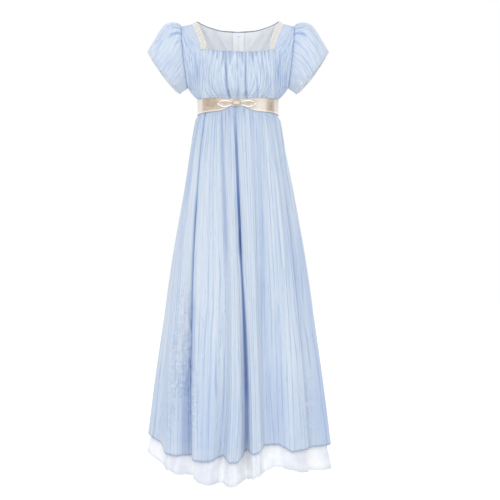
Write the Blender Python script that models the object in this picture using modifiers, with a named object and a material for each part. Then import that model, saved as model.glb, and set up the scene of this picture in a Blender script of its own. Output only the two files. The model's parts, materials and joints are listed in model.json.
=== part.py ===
"""Regency gown on a hollow form: square neck, gathered front, puffed sleeves, ribbon belt, long
gathered skirt over a longer underskirt, and a zip down the centre back.

Sizes are in millimetres and become metres where a mesh is made. Z is up, the gown's front faces -Y,
the wearer's left is +X, and the origin is between the shoulders at the height of their seams.
"""
import math
from collections import namedtuple

import bmesh
import bpy
from mathutils import Matrix, Vector

MM = 0.001

# Driving dimensions
CLOTH_WALL = 1.2
LINING_WALL = 1.0
SEAM_GAP = 0.3
LAYER_GAP = 0.4
WAIST_Z = -262.0
WAIST_HALF_WIDTH = 119.5
WAIST_FRONT = 99.5
WAIST_BACK = 91.5
PRINCESS_ANGLE = math.radians(65.0)
FRONT_NECK_CENTRE = Vector((0.0, -105.0, -104.0))
SHOULDER_Y = 5.0
STRAP_POINT = Vector((141.5, SHOULDER_Y, -1.0))
ARMHOLE_TOP = Vector((171.0, SHOULDER_Y, -8.0))
UNDERARM = Vector((152.0, SHOULDER_Y, -196.0))
ARMHOLE_FRONT = 63.0
ARMHOLE_BACK = 55.0
ARMHOLE_BOW = 2.5
ARMHOLE_SPREAD = 1.4
BACK_TURN = math.radians(64.0)
BACK_ROUND_BELOW = 0.4
BACK_TOP_BLEND = 2.5
NECK_ROUNDNESS = 2.4
NECK_TILT = 3.5
GATHER_FADE_COLUMNS = 14.0
SLEEVE_START_TOP = 0.8
SLEEVE_START_LOW = 1.7
SLEEVE_HEAD_GATHER = 3.2
SLEEVE_HEAD_REACH = 0.7
SLEEVE_HEM_FLARE = 2.5
HEM_Z = -1295.0
UNDER_HEM_Z = -1357.0
BELT_LOW_DROP = 281.0
GATHER_DROP = 296.0
LACE_AT_CORNER = Vector((-1.0, -0.38, -0.16))
LACE_AT_SHOULDER = Vector((-1.0, 0.0, 0.48))
SIDES = {"left": 1.0, "right": -1.0}

# Counts
FRONT_GATHERS = 16
SLEEVE_GATHERS = 8
COLUMNS_PER_GATHER = 4
COLUMNS_PER_FOLD = 3
SIDE_FRONT_COLUMNS = 6
BACK_COLUMNS = 7
LACE_COLUMNS = 3
BELT_COLUMNS = 48
LOOP_COLUMNS = 8
LOOP_ROWS = 6
KNOT_SEGMENTS = 14
KNOT_RINGS = 8
TAPE_COLUMNS = 4


class Sections:
    """A table of named sizes, read smoothly between its rows by the first column."""

    def __init__(self, names, rows):
        self.Row = namedtuple("Row", names)
        self.columns = list(zip(*rows))
        self.stations = self.columns[0]
        self.slopes = [self.smooth_slopes(column) for column in self.columns]

    def smooth_slopes(self, values):
        """Slopes at the stations that never overshoot a row's value."""
        steps = [
            (values[i + 1] - values[i]) / (self.stations[i + 1] - self.stations[i])
            for i in range(len(values) - 1)
        ]
        slopes = [steps[0]]
        for before, after in zip(steps, steps[1:]):
            turns = before * after <= 0.0
            slopes.append(0.0 if turns else 2.0 * before * after / (before + after))
        slopes.append(steps[-1])
        return slopes

    def at(self, station):
        last = len(self.stations) - 2
        index = 0
        while index < last and station > self.stations[index + 1]:
            index += 1
        start = self.stations[index]
        span = self.stations[index + 1] - start
        t = min(max((station - start) / span, 0.0), 1.0)
        values = []
        for column, slopes in zip(self.columns, self.slopes):
            values.append(
                column[index] * (1.0 + 2.0 * t) * (1.0 - t) ** 2
                + column[index + 1] * t * t * (3.0 - 2.0 * t)
                + slopes[index] * span * t * (1.0 - t) ** 2
                + slopes[index + 1] * span * t * t * (t - 1.0)
            )
        return self.Row(*values)


# Seam between the centre front and a side front, from the waist up to the neck's corner
PRINCESS_SEAM = Sections("t x y z", [
    (0.00, 108.3, -42.0, WAIST_Z),
    (0.10, 109.8, -42.8, -234.0),
    (0.20, 112.0, -51.0, -226.0),
    (0.32, 112.5, -64.0, -212.0),
    (0.46, 111.0, -76.0, -190.0),
    (0.60, 109.5, -84.0, -167.0),
    (0.74, 109.5, -87.0, -142.0),
    (0.88, 110.5, -85.0, -117.0),
    (1.00, 111.0, -80.0, -93.0),
])

# How far the centre front's gathers stand out, from the waist up to the neck
FRONT_GATHER = Sections("v depth", [
    (0.00, 0.0),
    (0.10, 0.0),
    (0.20, 1.5),
    (0.32, 1.0),
    (0.46, 0.8),
    (0.60, 0.7),
    (0.80, 0.9),
    (0.90, 1.2),
    (1.00, 1.7),
])

# Inner edge of a front strap, from the neck's corner to the shoulder, and the lace inside it
STRAP_EDGE = Sections("t x y z lace_left lace_right", [
    (0.00, 111.0, -80.0, -93.0, 13.0, 22.0),
    (0.20, 114.0, -71.0, -74.0, 17.0, 21.0),
    (0.45, 122.0, -57.0, -50.0, 20.0, 19.0),
    (0.70, 131.0, -37.0, -26.0, 20.0, 18.0),
    (0.87, 138.0, -15.0, -9.0, 18.5, 18.0),
    (1.00, 141.5, 5.0, -1.0, 18.0, 18.0),
])

# Side seam of the bodice, from the waist to the underarm
SIDE_SEAM = Sections("t x y z", [
    (0.00, WAIST_HALF_WIDTH, 0.0, WAIST_Z),
    (0.22, 121.0, 0.0, -233.0),
    (0.45, 130.0, 1.0, -224.0),
    (0.70, 142.0, 3.0, -211.0),
    (1.00, 152.0, SHOULDER_Y, -196.0),
])

# Centre-back seam of the bodice, from the waist to the back neck
CENTRE_BACK = Sections("t y z", [
    (0.00, WAIST_BACK, WAIST_Z),
    (0.05, WAIST_BACK + 1.0, -236.0),
    (0.12, 95.0, -222.0),
    (0.45, 99.0, -150.0),
    (0.80, 93.0, -60.0),
    (1.00, 85.0, -7.0),
])

# Back neckline from the centre back to the neck point, then the shoulder seam
BACK_TOP = Sections("u x y z", [
    (0.00, 0.0, 85.0, -7.0),
    (0.25, 48.0, 82.5, -4.5),
    (0.48, 88.0, 64.0, 2.0),
    (0.62, 111.0, 35.0, 6.0),
    (0.74, 125.0, SHOULDER_Y, 7.0),
    (0.82, 141.5, SHOULDER_Y, -1.0),
    (1.00, 171.0, SHOULDER_Y, -8.0),
])

# Skirt without its folds: half width and depth to the front and the back
SKIRT = Sections("drop half_width front back", [
    (262.0, 120.7, 100.7, 92.7),
    (281.0, 121.5, 101.7, 93.7),
    (296.0, 126.5, 108.0, 99.0),
    (340.0, 135.5, 118.0, 109.0),
    (420.0, 149.5, 132.0, 122.0),
    (560.0, 172.5, 152.0, 142.0),
    (740.0, 199.5, 178.0, 167.0),
    (930.0, 223.0, 201.0, 190.0),
    (1120.0, 246.0, 217.0, 207.0),
    (1295.0, 264.0, 227.0, 218.0),
    (1357.0, 270.0, 231.0, 222.0),
])
SKIRT_ROWS = (262.0, BELT_LOW_DROP, GATHER_DROP, 340.0, 420.0, 560.0, 740.0, 930.0, 1120.0)
UNDERSKIRT_ROWS = SKIRT_ROWS + (1300.0,)

# Depth of the underskirt inside the skirt, which ends above the last two rows
UNDERSKIRT_DEPTH = Sections("drop depth", [
    (262.0, 2.0),
    (296.0, 2.0),
    (420.0, 3.2),
    (930.0, 9.0),
    (1300.0, 9.0),
    (1357.0, 3.0),
])

# Ridges and valleys round the skirt, with their angles from the centre front at the waist, halfway
# down and at the hem, how far each stands out from the plain skirt at the hem, and how far the
# skirt's hem and the underskirt's are raised there
FOLDS = Sections("fold waist_angle middle_angle hem_angle out raised under_raised", [
    (0, -180.0, -179.5, -179.0, -24.0, 12.0, 10.0),
    (1, -166.0, -165.5, -165.0, 17.0, 2.0, 4.0),
    (2, -151.0, -150.5, -150.0, -26.0, 14.0, 16.0),
    (3, -136.0, -136.0, -136.0, 15.0, 4.0, 6.0),
    (4, -120.0, -119.5, -119.0, -22.0, 26.0, 28.0),
    (5, -104.0, -99.0, -95.0, 13.0, 46.0, 48.0),
    (6, -90.0, -77.0, -66.0, -12.0, 34.0, 36.0),
    (7, -78.0, -61.0, -47.0, 16.0, 14.0, 28.0),
    (8, -66.0, -50.0, -39.5, 17.0, 14.0, 22.0),
    (9, -54.0, -42.5, -33.0, -24.0, 12.0, 16.0),
    (10, -43.0, -33.5, -26.5, 15.0, 4.0, 12.0),
    (11, -33.0, -20.0, -17.0, 17.0, 5.0, 0.0),
    (12, -24.0, -9.0, -9.5, -17.0, 18.0, 4.0),
    (13, -16.5, -4.5, -4.5, 12.0, 2.0, -3.0),
    (14, -10.0, -0.5, 0.0, 13.0, 4.0, 2.0),
    (15, -4.0, 4.0, 6.5, -32.0, 34.0, 10.0),
    (16, 4.0, 8.5, 9.5, 12.0, 25.0, 18.0),
    (17, 14.0, 13.5, 13.5, 12.0, 32.0, 24.0),
    (18, 26.0, 20.5, 19.5, -22.0, 46.0, 30.0),
    (19, 37.0, 31.0, 27.5, -14.0, 46.0, 42.0),
    (20, 46.0, 41.0, 35.5, 14.0, 27.0, 32.0),
    (21, 55.0, 50.0, 45.0, 16.0, 28.0, 24.0),
    (22, 66.0, 64.0, 62.0, -22.0, 20.0, 15.0),
    (23, 85.0, 84.0, 83.0, 19.0, 20.0, 10.0),
    (24, 104.0, 104.0, 104.0, -24.0, 24.0, 14.0),
    (25, 118.0, 118.0, 118.0, 15.0, 8.0, 6.0),
    (26, 131.0, 130.5, 130.0, -20.0, 16.0, 14.0),
    (27, 144.0, 143.5, 143.0, 16.0, 2.0, 4.0),
    (28, 156.0, 156.5, 157.0, -18.0, 10.0, 12.0),
    (29, 167.0, 167.0, 167.0, 12.0, 6.0, 6.0),
    (30, 180.0, 180.5, 181.0, -24.0, 12.0, 10.0),
])
FOLD_COUNT = 30
SIDE_FOLDS = {"right": 6, "left": 24}
GATHER_RATIO = 0.11
WAIST_GATHER_FADE = 230.0
FOLD_START = 285.0
FOLD_POWER = 0.8
HEM_RAISE_POWER = 2.0

# Sleeve rings from the armhole to the hem: highest and lowest points, depth to the front and the
# back, how far the middle bows out along the arm, and how far the front and back hang below a line
SLEEVE = Sections("ring top_x top_z low_x low_z front back bow hang", [
    (0.00, 171.0, -8.0, 152.0, -196.0, ARMHOLE_FRONT, ARMHOLE_BACK, ARMHOLE_BOW, 0.0),
    (0.07, 179.0, 0.5, 153.5, -197.5, 66.5, 59.0, 3.0, 0.0),
    (0.20, 197.0, 3.5, 157.0, -200.0, 72.0, 66.0, 5.0, 1.0),
    (0.40, 221.0, -5.0, 163.0, -203.0, 78.0, 72.0, 8.0, 3.0),
    (0.60, 240.0, -27.0, 169.0, -206.5, 79.0, 74.0, 9.5, 4.0),
    (0.80, 257.0, -54.0, 174.0, -210.0, 77.0, 73.0, 7.0, 5.5),
    (1.00, 275.5, -87.0, 178.5, -212.0, 73.0, 70.0, 1.0, 6.0),
])
SLEEVE_RING_ROWS = (0.0, 0.07, 0.2, 0.36, 0.52, 0.68, 0.84, 1.0)

# Ribbon belt by the angle from the centre front: heights of its top and bottom edges
BELT = Sections("angle top bottom", [
    (0.0, -243.0, -264.5),
    (9.0, -242.5, -265.5),
    (17.0, -241.5, -272.0),
    (26.0, -240.0, -277.5),
    (50.0, -237.0, -279.0),
    (90.0, -234.5, -280.0),
    (180.0, -234.0, -280.0),
])
BELT_WALL = 1.0
BELT_GAP = 0.8
BELT_FLARE = 0.06
BELT_ROWS = 2

# Bow: loop half height and hollow along its length
LOOP = Sections("t half_height hollow", [
    (0.00, 3.0, 0.6),
    (0.20, 7.4, 1.8),
    (0.50, 11.2, 3.0),
    (0.75, 9.2, 2.4),
    (1.00, 1.4, 0.3),
])
LOOP_LENGTH = 46.0
LOOP_START = 11.0
LOOP_LIFT = 0.5
KNOT_SIZE = Vector((23.0, 10.0, 24.0))
KNOT_Z = -254.5
KNOT_WAIST = 0.72
BOW_CENTRE_X = -3.0
BOW_Z = -257.0

# Zip
TAPE_HALF_WIDTH = 17.0
TAPE_TOP = 0.985
TAPE_DROPS = (281.0, 296.0, 340.0, 412.0)
TAPE_WALL = 1.0
ZIP_DEPTH = 2.2
TAPE_ROUNDING = 0.0028
STOP_SIZE = Vector((7.0, 1.4, 5.0))
STOP_Z = -19.0
SLIDER_SIZE = Vector((6.6, 2.0, 11.0))
SLIDER_Z = -22.0
EAR_THICKNESS = 0.9
EAR_HEIGHT = 3.6
EAR_MARGIN = 0.5
AXIS_LIFT = 2.6
PIN_RADIUS = 0.7
PIN_OVERHANG = 0.1
EYE_RADIUS = 2.1
EYE_HOLE_RADIUS = 1.2
EYE_WIDTH = 3.2
NECK_WIDTH = 3.0
NECK_OVERLAP = 1.0
EAR_CLEARANCE = 0.4
TAB_START = 3.6
TAB_LENGTH = 21.0
TAB_WIDTH = 5.4
TAB_THICKNESS = 1.2
ROUNDING = 0.3

# Rows that neighbouring panels share at their seams
PRINCESS_ROWS = (0.0, 0.1, 0.2, 0.32, 0.46, 0.6, 0.74, 0.88, 1.0)
STRAP_ROWS = (0.14, 0.28, 0.42, 0.56, 0.7, 0.85, 1.0)
CORNER_V = 0.45
UNDERARM_V = 0.46 * CORNER_V
PANEL_ROWS = tuple(t * CORNER_V for t in PRINCESS_ROWS) + tuple(
    CORNER_V + (1.0 - CORNER_V) * t for t in STRAP_ROWS
)


def clear_scene():
    for item in list(bpy.data.objects):
        bpy.data.objects.remove(item, do_unlink=True)


def new_collection(name):
    collection = bpy.data.collections.new(name)
    bpy.context.scene.collection.children.link(collection)
    return collection


def material(name, colour, roughness, metallic=0.0):
    result = bpy.data.materials.new(name)
    result.use_nodes = True
    shader = result.node_tree.nodes["Principled BSDF"]
    shader.inputs["Base Color"].default_value = (*colour, 1.0)
    shader.inputs["Roughness"].default_value = roughness
    shader.inputs["Metallic"].default_value = metallic
    return result


def add_object(name, mesh, surface_material, collection):
    item = bpy.data.objects.new(name, mesh)
    mesh.materials.append(surface_material)
    mesh.shade_smooth()
    collection.objects.link(item)
    return item


def cloth(name, surface, columns, rows, wall, grow, surface_material, collection, closed=False):
    """A sheet through surface(column, row), thickened outward (grow 1) or inward (grow -1).

    Columns and rows are the stations at which the surface is read.
    """
    shell = bmesh.new()
    bmesh.ops.create_grid(shell, x_segments=len(columns) - 1, y_segments=len(rows) - 1, size=0.5)
    for vertex in shell.verts:
        column = columns[round((vertex.co.x + 0.5) * (len(columns) - 1))]
        row = rows[round((vertex.co.y + 0.5) * (len(rows) - 1))]
        vertex.co = surface(column, row) * MM
    if closed:
        bmesh.ops.remove_doubles(shell, verts=shell.verts, dist=0.00001)
    mesh = bpy.data.meshes.new(name)
    shell.to_mesh(mesh)
    shell.free()
    item = add_object(name, mesh, surface_material, collection)
    solidify = item.modifiers.new("wall", "SOLIDIFY")
    solidify.thickness = wall * MM
    solidify.offset = grow
    solidify.use_even_offset = False
    return item


def even(start, end, count):
    return [start + (end - start) * i / count for i in range(count + 1)]


def lerp(a, b, t):
    return a * (1.0 - t) + b * t


def through(start, middle, end, t):
    """Value at t of the smooth curve that has these values at 0, a half and 1."""
    return lerp(start, end, t) + (2.0 * middle - start - end) * 2.0 * t * (1.0 - t)


def mirrored(point, side):
    return Vector((point.x * side, point.y, point.z))


def coons(u, v, left, right, bottom, top):
    """Point of the patch whose edges are the four curves."""
    across = lerp(left(v), right(v), u)
    along = lerp(bottom(u), top(u), v)
    corners = lerp(lerp(bottom(0.0), bottom(1.0), u), lerp(top(0.0), top(1.0), u), v)
    return across + along - corners


def surface_normal(surface, u, v, step=0.002):
    """Unit normal of surface(u, v), by its differences to either side."""
    across = surface(u + step, v) - surface(u - step, v)
    along = surface(u, v + step) - surface(u, v - step)
    return across.cross(along).normalized()


# Bodice

def waist_point(angle):
    """Point of the waist seam at an angle from the centre front toward +X."""
    depth = WAIST_FRONT if math.cos(angle) > 0.0 else WAIST_BACK
    return Vector((WAIST_HALF_WIDTH * math.sin(angle), -depth * math.cos(angle), WAIST_Z))


def armhole_point(angle):
    """Point of the left armhole at an angle from its top toward the front."""
    centre = (ARMHOLE_TOP + UNDERARM) / 2.0
    upright = (ARMHOLE_TOP - UNDERARM) / 2.0 * math.cos(angle)
    depth = ARMHOLE_FRONT if math.sin(angle) > 0.0 else ARMHOLE_BACK
    bow = ARMHOLE_BOW * math.sin(angle) ** 2
    return centre + upright + Vector((bow, -depth * math.sin(angle), 0.0))


def armhole_share(v):
    """Share of half the armhole that is left above a panel's row."""
    return ((1.0 - v) / (1.0 - UNDERARM_V)) ** ARMHOLE_SPREAD


def princess_point(t):
    row = PRINCESS_SEAM.at(t)
    return Vector((row.x, row.y, row.z))


def strap_edge_point(t):
    row = STRAP_EDGE.at(t)
    return Vector((row.x, row.y, row.z))


def side_front_inner(v):
    if v <= CORNER_V:
        return princess_point(v / CORNER_V)
    return strap_edge_point((v - CORNER_V) / (1.0 - CORNER_V))


def side_seam_point(v):
    row = SIDE_SEAM.at(v / UNDERARM_V)
    return Vector((row.x, row.y, row.z))


def side_front_outer(v):
    if v <= UNDERARM_V:
        return side_seam_point(v)
    return armhole_point(math.pi * armhole_share(v))


def back_outer(v):
    if v <= UNDERARM_V:
        return side_seam_point(v)
    return armhole_point(-math.pi * armhole_share(v))


def side_front_surface(u, v):
    """Left side front and strap: u from the princess seam to the side, v from waist to shoulder."""
    return coons(
        u, v, side_front_inner, side_front_outer,
        lambda t: waist_point(lerp(PRINCESS_ANGLE, math.pi / 2.0, t)),
        lambda t: lerp(STRAP_POINT, ARMHOLE_TOP, t),
    )


def back_surface(u, v):
    """Left back: u from the centre back to the side, v from the waist to the neck and shoulder."""

    def level(u, v):
        """Row at one height, rounding from square across the centre back to the side."""
        row = CENTRE_BACK.at(v)
        centre = Vector((0.0, row.y, row.z))
        side = back_outer(v)
        turn = lerp(math.pi / 2.0, BACK_TURN, min(v / BACK_ROUND_BELOW, 1.0))
        across = math.sin(turn * u) / math.sin(turn)
        inward = (1.0 - math.cos(turn * u)) / (1.0 - math.cos(turn))
        x = side.x * across
        y = lerp(centre.y, side.y, inward)
        return Vector((x, y, lerp(centre.z, side.z, u)))

    top = BACK_TOP.at(u)
    to_top = Vector((top.x, top.y, top.z)) - level(u, 1.0)
    return level(u, v) + to_top * v ** BACK_TOP_BLEND


def neck_edge(u):
    """Gathered neck edge of the centre front, from the right corner (u = 0) to the left."""
    x = PRINCESS_SEAM.at(1.0).x * (2.0 * u - 1.0)
    corner = princess_point(1.0)
    roundness = 1.0 - abs(2.0 * u - 1.0) ** NECK_ROUNDNESS
    tilt = NECK_TILT * (2.0 * u - 1.0) ** 3
    y = lerp(corner.y, FRONT_NECK_CENTRE.y, roundness)
    return Vector((x, y, lerp(corner.z, FRONT_NECK_CENTRE.z, roundness) + tilt))


def front_plain(u, v):
    """Centre front without its gathers: u from right to left, v from the waist to the neck."""
    return coons(
        u, v,
        lambda t: mirrored(princess_point(t), -1.0),
        princess_point,
        lambda t: waist_point(lerp(-PRINCESS_ANGLE, PRINCESS_ANGLE, t)),
        neck_edge,
    )


def front_surface(u, v):
    point = front_plain(u, v)
    fade = min(1.0, GATHER_FADE_COLUMNS * u, GATHER_FADE_COLUMNS * (1.0 - u))
    wave = -math.cos(2.0 * math.pi * FRONT_GATHERS * u)
    return point + surface_normal(front_plain, u, v) * (wave * fade * FRONT_GATHER.at(v).depth)


def seam_inset(surface, u_end, v):
    """Share of u that keeps half a seam's gap at that end of a panel's row."""
    width = (surface(min(u_end + 0.01, 1.0), v) - surface(max(u_end - 0.01, 0.0), v)).length
    span = min(u_end + 0.01, 1.0) - max(u_end - 0.01, 0.0)
    return SEAM_GAP / 2.0 * span / width


def inset_panel(surface):
    """The surface with its sides and its ends drawn in by half a seam's gap."""

    def panel(u, v):
        inner_u = lerp(seam_inset(surface, 0.0, v), 1.0 - seam_inset(surface, 1.0, v), u)
        height = (surface(u, 1.0) - surface(u, 0.98)).length / 0.02
        end = SEAM_GAP / 2.0 / height
        return surface(inner_u, lerp(end, 1.0 - end, v))

    return panel


def build_bodice(paint, collection):
    columns = even(0.0, 1.0, FRONT_GATHERS * COLUMNS_PER_GATHER)
    cloth(
        "bodice_front", inset_panel(front_surface), columns, PRINCESS_ROWS,
        CLOTH_WALL, 1.0, paint["blue_cloth"], collection,
    )
    for word, side in SIDES.items():
        order = 1 if side > 0.0 else -1
        front = inset_panel(side_front_surface)
        cloth(
            f"side_front_{word}", lambda u, v: mirrored(front(u, v), side),
            even(0.0, 1.0, SIDE_FRONT_COLUMNS)[::order], PANEL_ROWS,
            CLOTH_WALL, 1.0, paint["blue_cloth"], collection,
        )
        back = inset_panel(back_surface)
        cloth(
            f"back_{word}", lambda u, v: mirrored(back(u, v), side),
            even(0.0, 1.0, BACK_COLUMNS)[::-order], PANEL_ROWS,
            CLOTH_WALL, 1.0, paint["blue_cloth"], collection,
        )
        cloth(
            f"lining_back_{word}", lambda u, v: mirrored(inside_back(back, u, v, LAYER_GAP), side),
            even(0.0, 1.0, BACK_COLUMNS)[::-order], PANEL_ROWS,
            LINING_WALL, -1.0, paint["white_lining"], collection,
        )


def inside_back(back, u, v, depth):
    """Point of a left back's surface, moved into the gown by a depth."""
    inside = surface_normal(back_surface, min(max(u, 0.01), 0.99), min(max(v, 0.01), 0.99))
    return back(u, v) + inside * depth


def build_lace(paint, collection):
    for word, side in SIDES.items():

        def strip(u, t, side=side, word=word):
            row = STRAP_EDGE.at(t)
            width = row.lace_left if word == "left" else row.lace_right
            outer = strap_edge_point(t) - Vector((SEAM_GAP, 0.0, 0.0))
            inner = outer + lerp(LACE_AT_CORNER, LACE_AT_SHOULDER, t).normalized() * width
            return mirrored(lerp(inner, outer, u), side)

        order = 1 if side > 0.0 else -1
        cloth(
            f"lace_{word}", strip, even(0.0, 1.0, LACE_COLUMNS)[::order],
            [0.012] + list(STRAP_ROWS[:-1]) + [0.99],
            LINING_WALL, 1.0, paint["ivory_lace"], collection,
        )


# Sleeves

def sleeve_surface(angle, ring):
    """Left sleeve: angle from the top toward the front, ring from the armhole to the hem."""
    row = SLEEVE.at(ring)
    top = Vector((row.top_x, 0.0, row.top_z))
    low = Vector((row.low_x, 0.0, row.low_z))
    outward = Vector((top.z - low.z, 0.0, low.x - top.x)).normalized()
    depth = row.front if math.sin(angle) > 0.0 else row.back
    swing = math.sin(angle) ** 2
    point = (top + low) / 2.0 + (top - low) / 2.0 * math.cos(angle) + outward * row.bow * swing
    start = lerp(SLEEVE_START_LOW, SLEEVE_START_TOP, 0.5 + 0.5 * math.cos(angle))
    point += Vector((start, SHOULDER_Y - depth * math.sin(angle), -row.hang * swing))
    ray = (point - (top + low) / 2.0 - Vector((0.0, SHOULDER_Y, 0.0))).normalized()
    reach = math.sin(math.pi * min(ring / SLEEVE_HEAD_REACH, 1.0)) ** 0.8
    head = SLEEVE_HEAD_GATHER * reach * (0.5 + 0.5 * math.cos(angle))
    flare = SLEEVE_HEM_FLARE * ring * ring
    wave = math.cos(SLEEVE_GATHERS * angle)
    return point + ray * wave * (head + flare)


def build_sleeves(paint, collection):
    columns = even(0.0, 2.0 * math.pi, SLEEVE_GATHERS * COLUMNS_PER_GATHER)
    for word, side in SIDES.items():
        order = 1 if side > 0.0 else -1
        cloth(
            f"sleeve_{word}", lambda angle, ring: mirrored(sleeve_surface(angle, ring), side),
            columns[::order], SLEEVE_RING_ROWS, CLOTH_WALL, -1.0,
            paint["blue_cloth"], collection, closed=True,
        )


# Skirts

def skirt_point(fold, drop, raised, depth=0.0):
    """Point of the skirt on a fold's line, at a drop below the origin and a depth inside it.

    It is raised by this much at the hem and by less above it.
    """
    line = FOLDS.at(fold)
    fall = max((drop + WAIST_Z) / (WAIST_Z - HEM_Z), 0.0)
    angle = math.radians(through(line.waist_angle, line.middle_angle, line.hem_angle, fall))
    shape = SKIRT.at(drop)
    out = line.out * max((drop - FOLD_START) / (-HEM_Z - FOLD_START), 0.0) ** FOLD_POWER
    seam_calm = min(abs(fold - FOLD_COUNT), abs(fold), 1.0)
    start = min(max((drop - BELT_LOW_DROP) / (GATHER_DROP - BELT_LOW_DROP), 0.0), 1.0)
    stride = FOLDS.at(fold + 0.5).waist_angle - FOLDS.at(fold - 0.5).waist_angle
    height = GATHER_RATIO * math.radians(stride) * WAIST_HALF_WIDTH
    gather = height * start * math.exp(-max(drop - GATHER_DROP, 0.0) / WAIST_GATHER_FADE)
    out -= gather * seam_calm * math.cos(2.0 * math.pi * fold)
    front = math.cos(angle) > 0.0
    depth_y = (shape.front if front else shape.back) + out - depth
    width = shape.half_width + out - depth
    height_z = raised * fall ** HEM_RAISE_POWER - drop
    return Vector((width * math.sin(angle), -depth_y * math.cos(angle), height_z))


def outer_layer(fold, drop):
    return skirt_point(fold, drop, FOLDS.at(fold).raised)


def under_layer(fold, drop):
    return skirt_point(fold, drop, FOLDS.at(fold).under_raised, UNDERSKIRT_DEPTH.at(drop).depth)


def seam_shift(layer, fold, drop, toward):
    """Fold station that lies half a seam's gap from this one, on one side."""
    step = 0.01 * toward
    stride = (layer(fold + step, drop) - layer(fold, drop)).length
    return fold + step * SEAM_GAP / 2.0 / stride


def build_skirt(prefix, layer, wall, rows, surface_material, collection):
    """The front and the two backs of a skirt, with seams in valleys at the sides and the back."""
    panels = {
        f"{prefix}_front": (SIDE_FOLDS["right"], SIDE_FOLDS["left"]),
        f"{prefix}_back_left": (SIDE_FOLDS["left"], FOLD_COUNT),
        f"{prefix}_back_right": (0, SIDE_FOLDS["right"]),
    }
    rows = [rows[0] + SEAM_GAP / 2.0] + list(rows[1:])
    for name, (first, last) in panels.items():

        def surface(fold, drop, first=first, last=last):
            if fold == first:
                fold = seam_shift(layer, fold, drop, 1.0)
            elif fold == last:
                fold = seam_shift(layer, fold, drop, -1.0)
            return layer(fold, drop)

        cloth(
            name, surface, even(first, last, (last - first) * COLUMNS_PER_FOLD), rows[::-1],
            wall, -1.0, surface_material, collection,
        )


# Belt and bow

def belt_surface(angle, t):
    row = BELT.at(abs(math.degrees(angle)))
    z = lerp(row.bottom, row.top, t)
    flare = abs(z - WAIST_Z) * BELT_FLARE
    outward = Vector((math.sin(angle), -math.cos(angle), 0.0))
    point = waist_point(angle) + outward * (CLOTH_WALL + BELT_GAP + flare)
    point.z = z
    return point


def build_belt(paint, collection):
    cloth(
        "belt", belt_surface, even(-math.pi, math.pi, BELT_COLUMNS), even(0.0, 1.0, BELT_ROWS),
        BELT_WALL, 1.0, paint["satin"], collection, closed=True,
    )


def bow_plane_y(x):
    """Outer face of the belt beside the knot."""
    return belt_surface(math.asin(x / WAIST_HALF_WIDTH), 0.5).y - BELT_WALL - LAYER_GAP


def build_bow(paint, collection):
    for word, side in SIDES.items():

        def loop(t, w, side=side):
            row = LOOP.at(t)
            x = BOW_CENTRE_X + side * (LOOP_START + LOOP_LENGTH * t)
            y = bow_plane_y(x) - LOOP_LIFT - row.hollow * w * w
            return Vector((x, y, BOW_Z + row.half_height * w))

        order = 1 if side > 0.0 else -1
        cloth(
            f"bow_loop_{word}", loop, even(0.0, 1.0, LOOP_COLUMNS)[::order],
            even(-1.0, 1.0, LOOP_ROWS), BELT_WALL, 1.0, paint["satin"], collection,
        )
    knot = bmesh.new()
    bmesh.ops.create_uvsphere(knot, u_segments=KNOT_SEGMENTS, v_segments=KNOT_RINGS, radius=0.5)
    for vertex in knot.verts:
        vertex.co.z *= lerp(KNOT_WAIST, 1.0, (2.0 * vertex.co.x) ** 2)
    centre = Vector((BOW_CENTRE_X, bow_plane_y(BOW_CENTRE_X) - KNOT_SIZE.y / 2.0, KNOT_Z))
    size = Matrix.Diagonal((*KNOT_SIZE, 1.0))
    bmesh.ops.transform(
        knot, matrix=Matrix.Scale(MM, 4) @ Matrix.Translation(centre) @ size, verts=knot.verts,
    )
    mesh = bpy.data.meshes.new("bow_knot")
    knot.to_mesh(mesh)
    knot.free()
    add_object("bow_knot", mesh, paint["satin"], collection)


# Zip

def zip_line():
    """Depth and height of the centre back outside the tape, row by row from the top down."""
    stations = [v for v in PANEL_ROWS if 0.0 < v < TAPE_TOP] + [TAPE_TOP]
    bodice = [CENTRE_BACK.at(v) for v in stations]
    line = [(row.y, row.z) for row in reversed(bodice)]
    line.append((WAIST_BACK, WAIST_Z))
    for drop in TAPE_DROPS:
        underskirt_face = under_layer(FOLD_COUNT, drop).y - LINING_WALL
        line.append((underskirt_face - LAYER_GAP + ZIP_DEPTH, -drop))
    return line


def build_zip(paint, collection):
    line = zip_line()

    def tape(x, index):
        y, z = line[index]
        rounding = TAPE_ROUNDING * x * x
        return Vector((x, y - ZIP_DEPTH - rounding, z))

    cloth(
        "zip_tape", tape, even(TAPE_HALF_WIDTH, -TAPE_HALF_WIDTH, TAPE_COLUMNS),
        range(len(line))[::-1], TAPE_WALL, -1.0, paint["zip_tape"], collection,
    )


def box(name, centre, size, collection):
    """Plain box with its size in its mesh, placed by its location."""
    mesh = bpy.data.meshes.new(name)
    shape = bmesh.new()
    bmesh.ops.create_cube(shape, size=1.0)
    bmesh.ops.scale(shape, vec=size * MM, verts=shape.verts)
    shape.to_mesh(mesh)
    shape.free()
    item = bpy.data.objects.new(name, mesh)
    item.location = centre * MM
    collection.objects.link(item)
    return item


def rod(name, centre, radius, length, collection, segments=16):
    """Cylinder along X."""
    mesh = bpy.data.meshes.new(name)
    shape = bmesh.new()
    bmesh.ops.create_cone(
        shape, cap_ends=True, segments=segments, radius1=radius * MM, radius2=radius * MM,
        depth=length * MM, matrix=Matrix.Rotation(math.pi / 2.0, 4, "Y"),
    )
    shape.to_mesh(mesh)
    shape.free()
    item = bpy.data.objects.new(name, mesh)
    item.location = centre * MM
    collection.objects.link(item)
    return item


def combine(item, other, operation):
    """Boolean of a hidden helper into an item."""
    other.hide_render = True
    other.display_type = "WIRE"
    boolean = item.modifiers.new(other.name, "BOOLEAN")
    boolean.operation = operation
    boolean.object = other


def round_edges(item):
    bevel = item.modifiers.new("rounding", "BEVEL")
    bevel.width = ROUNDING * MM
    bevel.segments = 1


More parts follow.
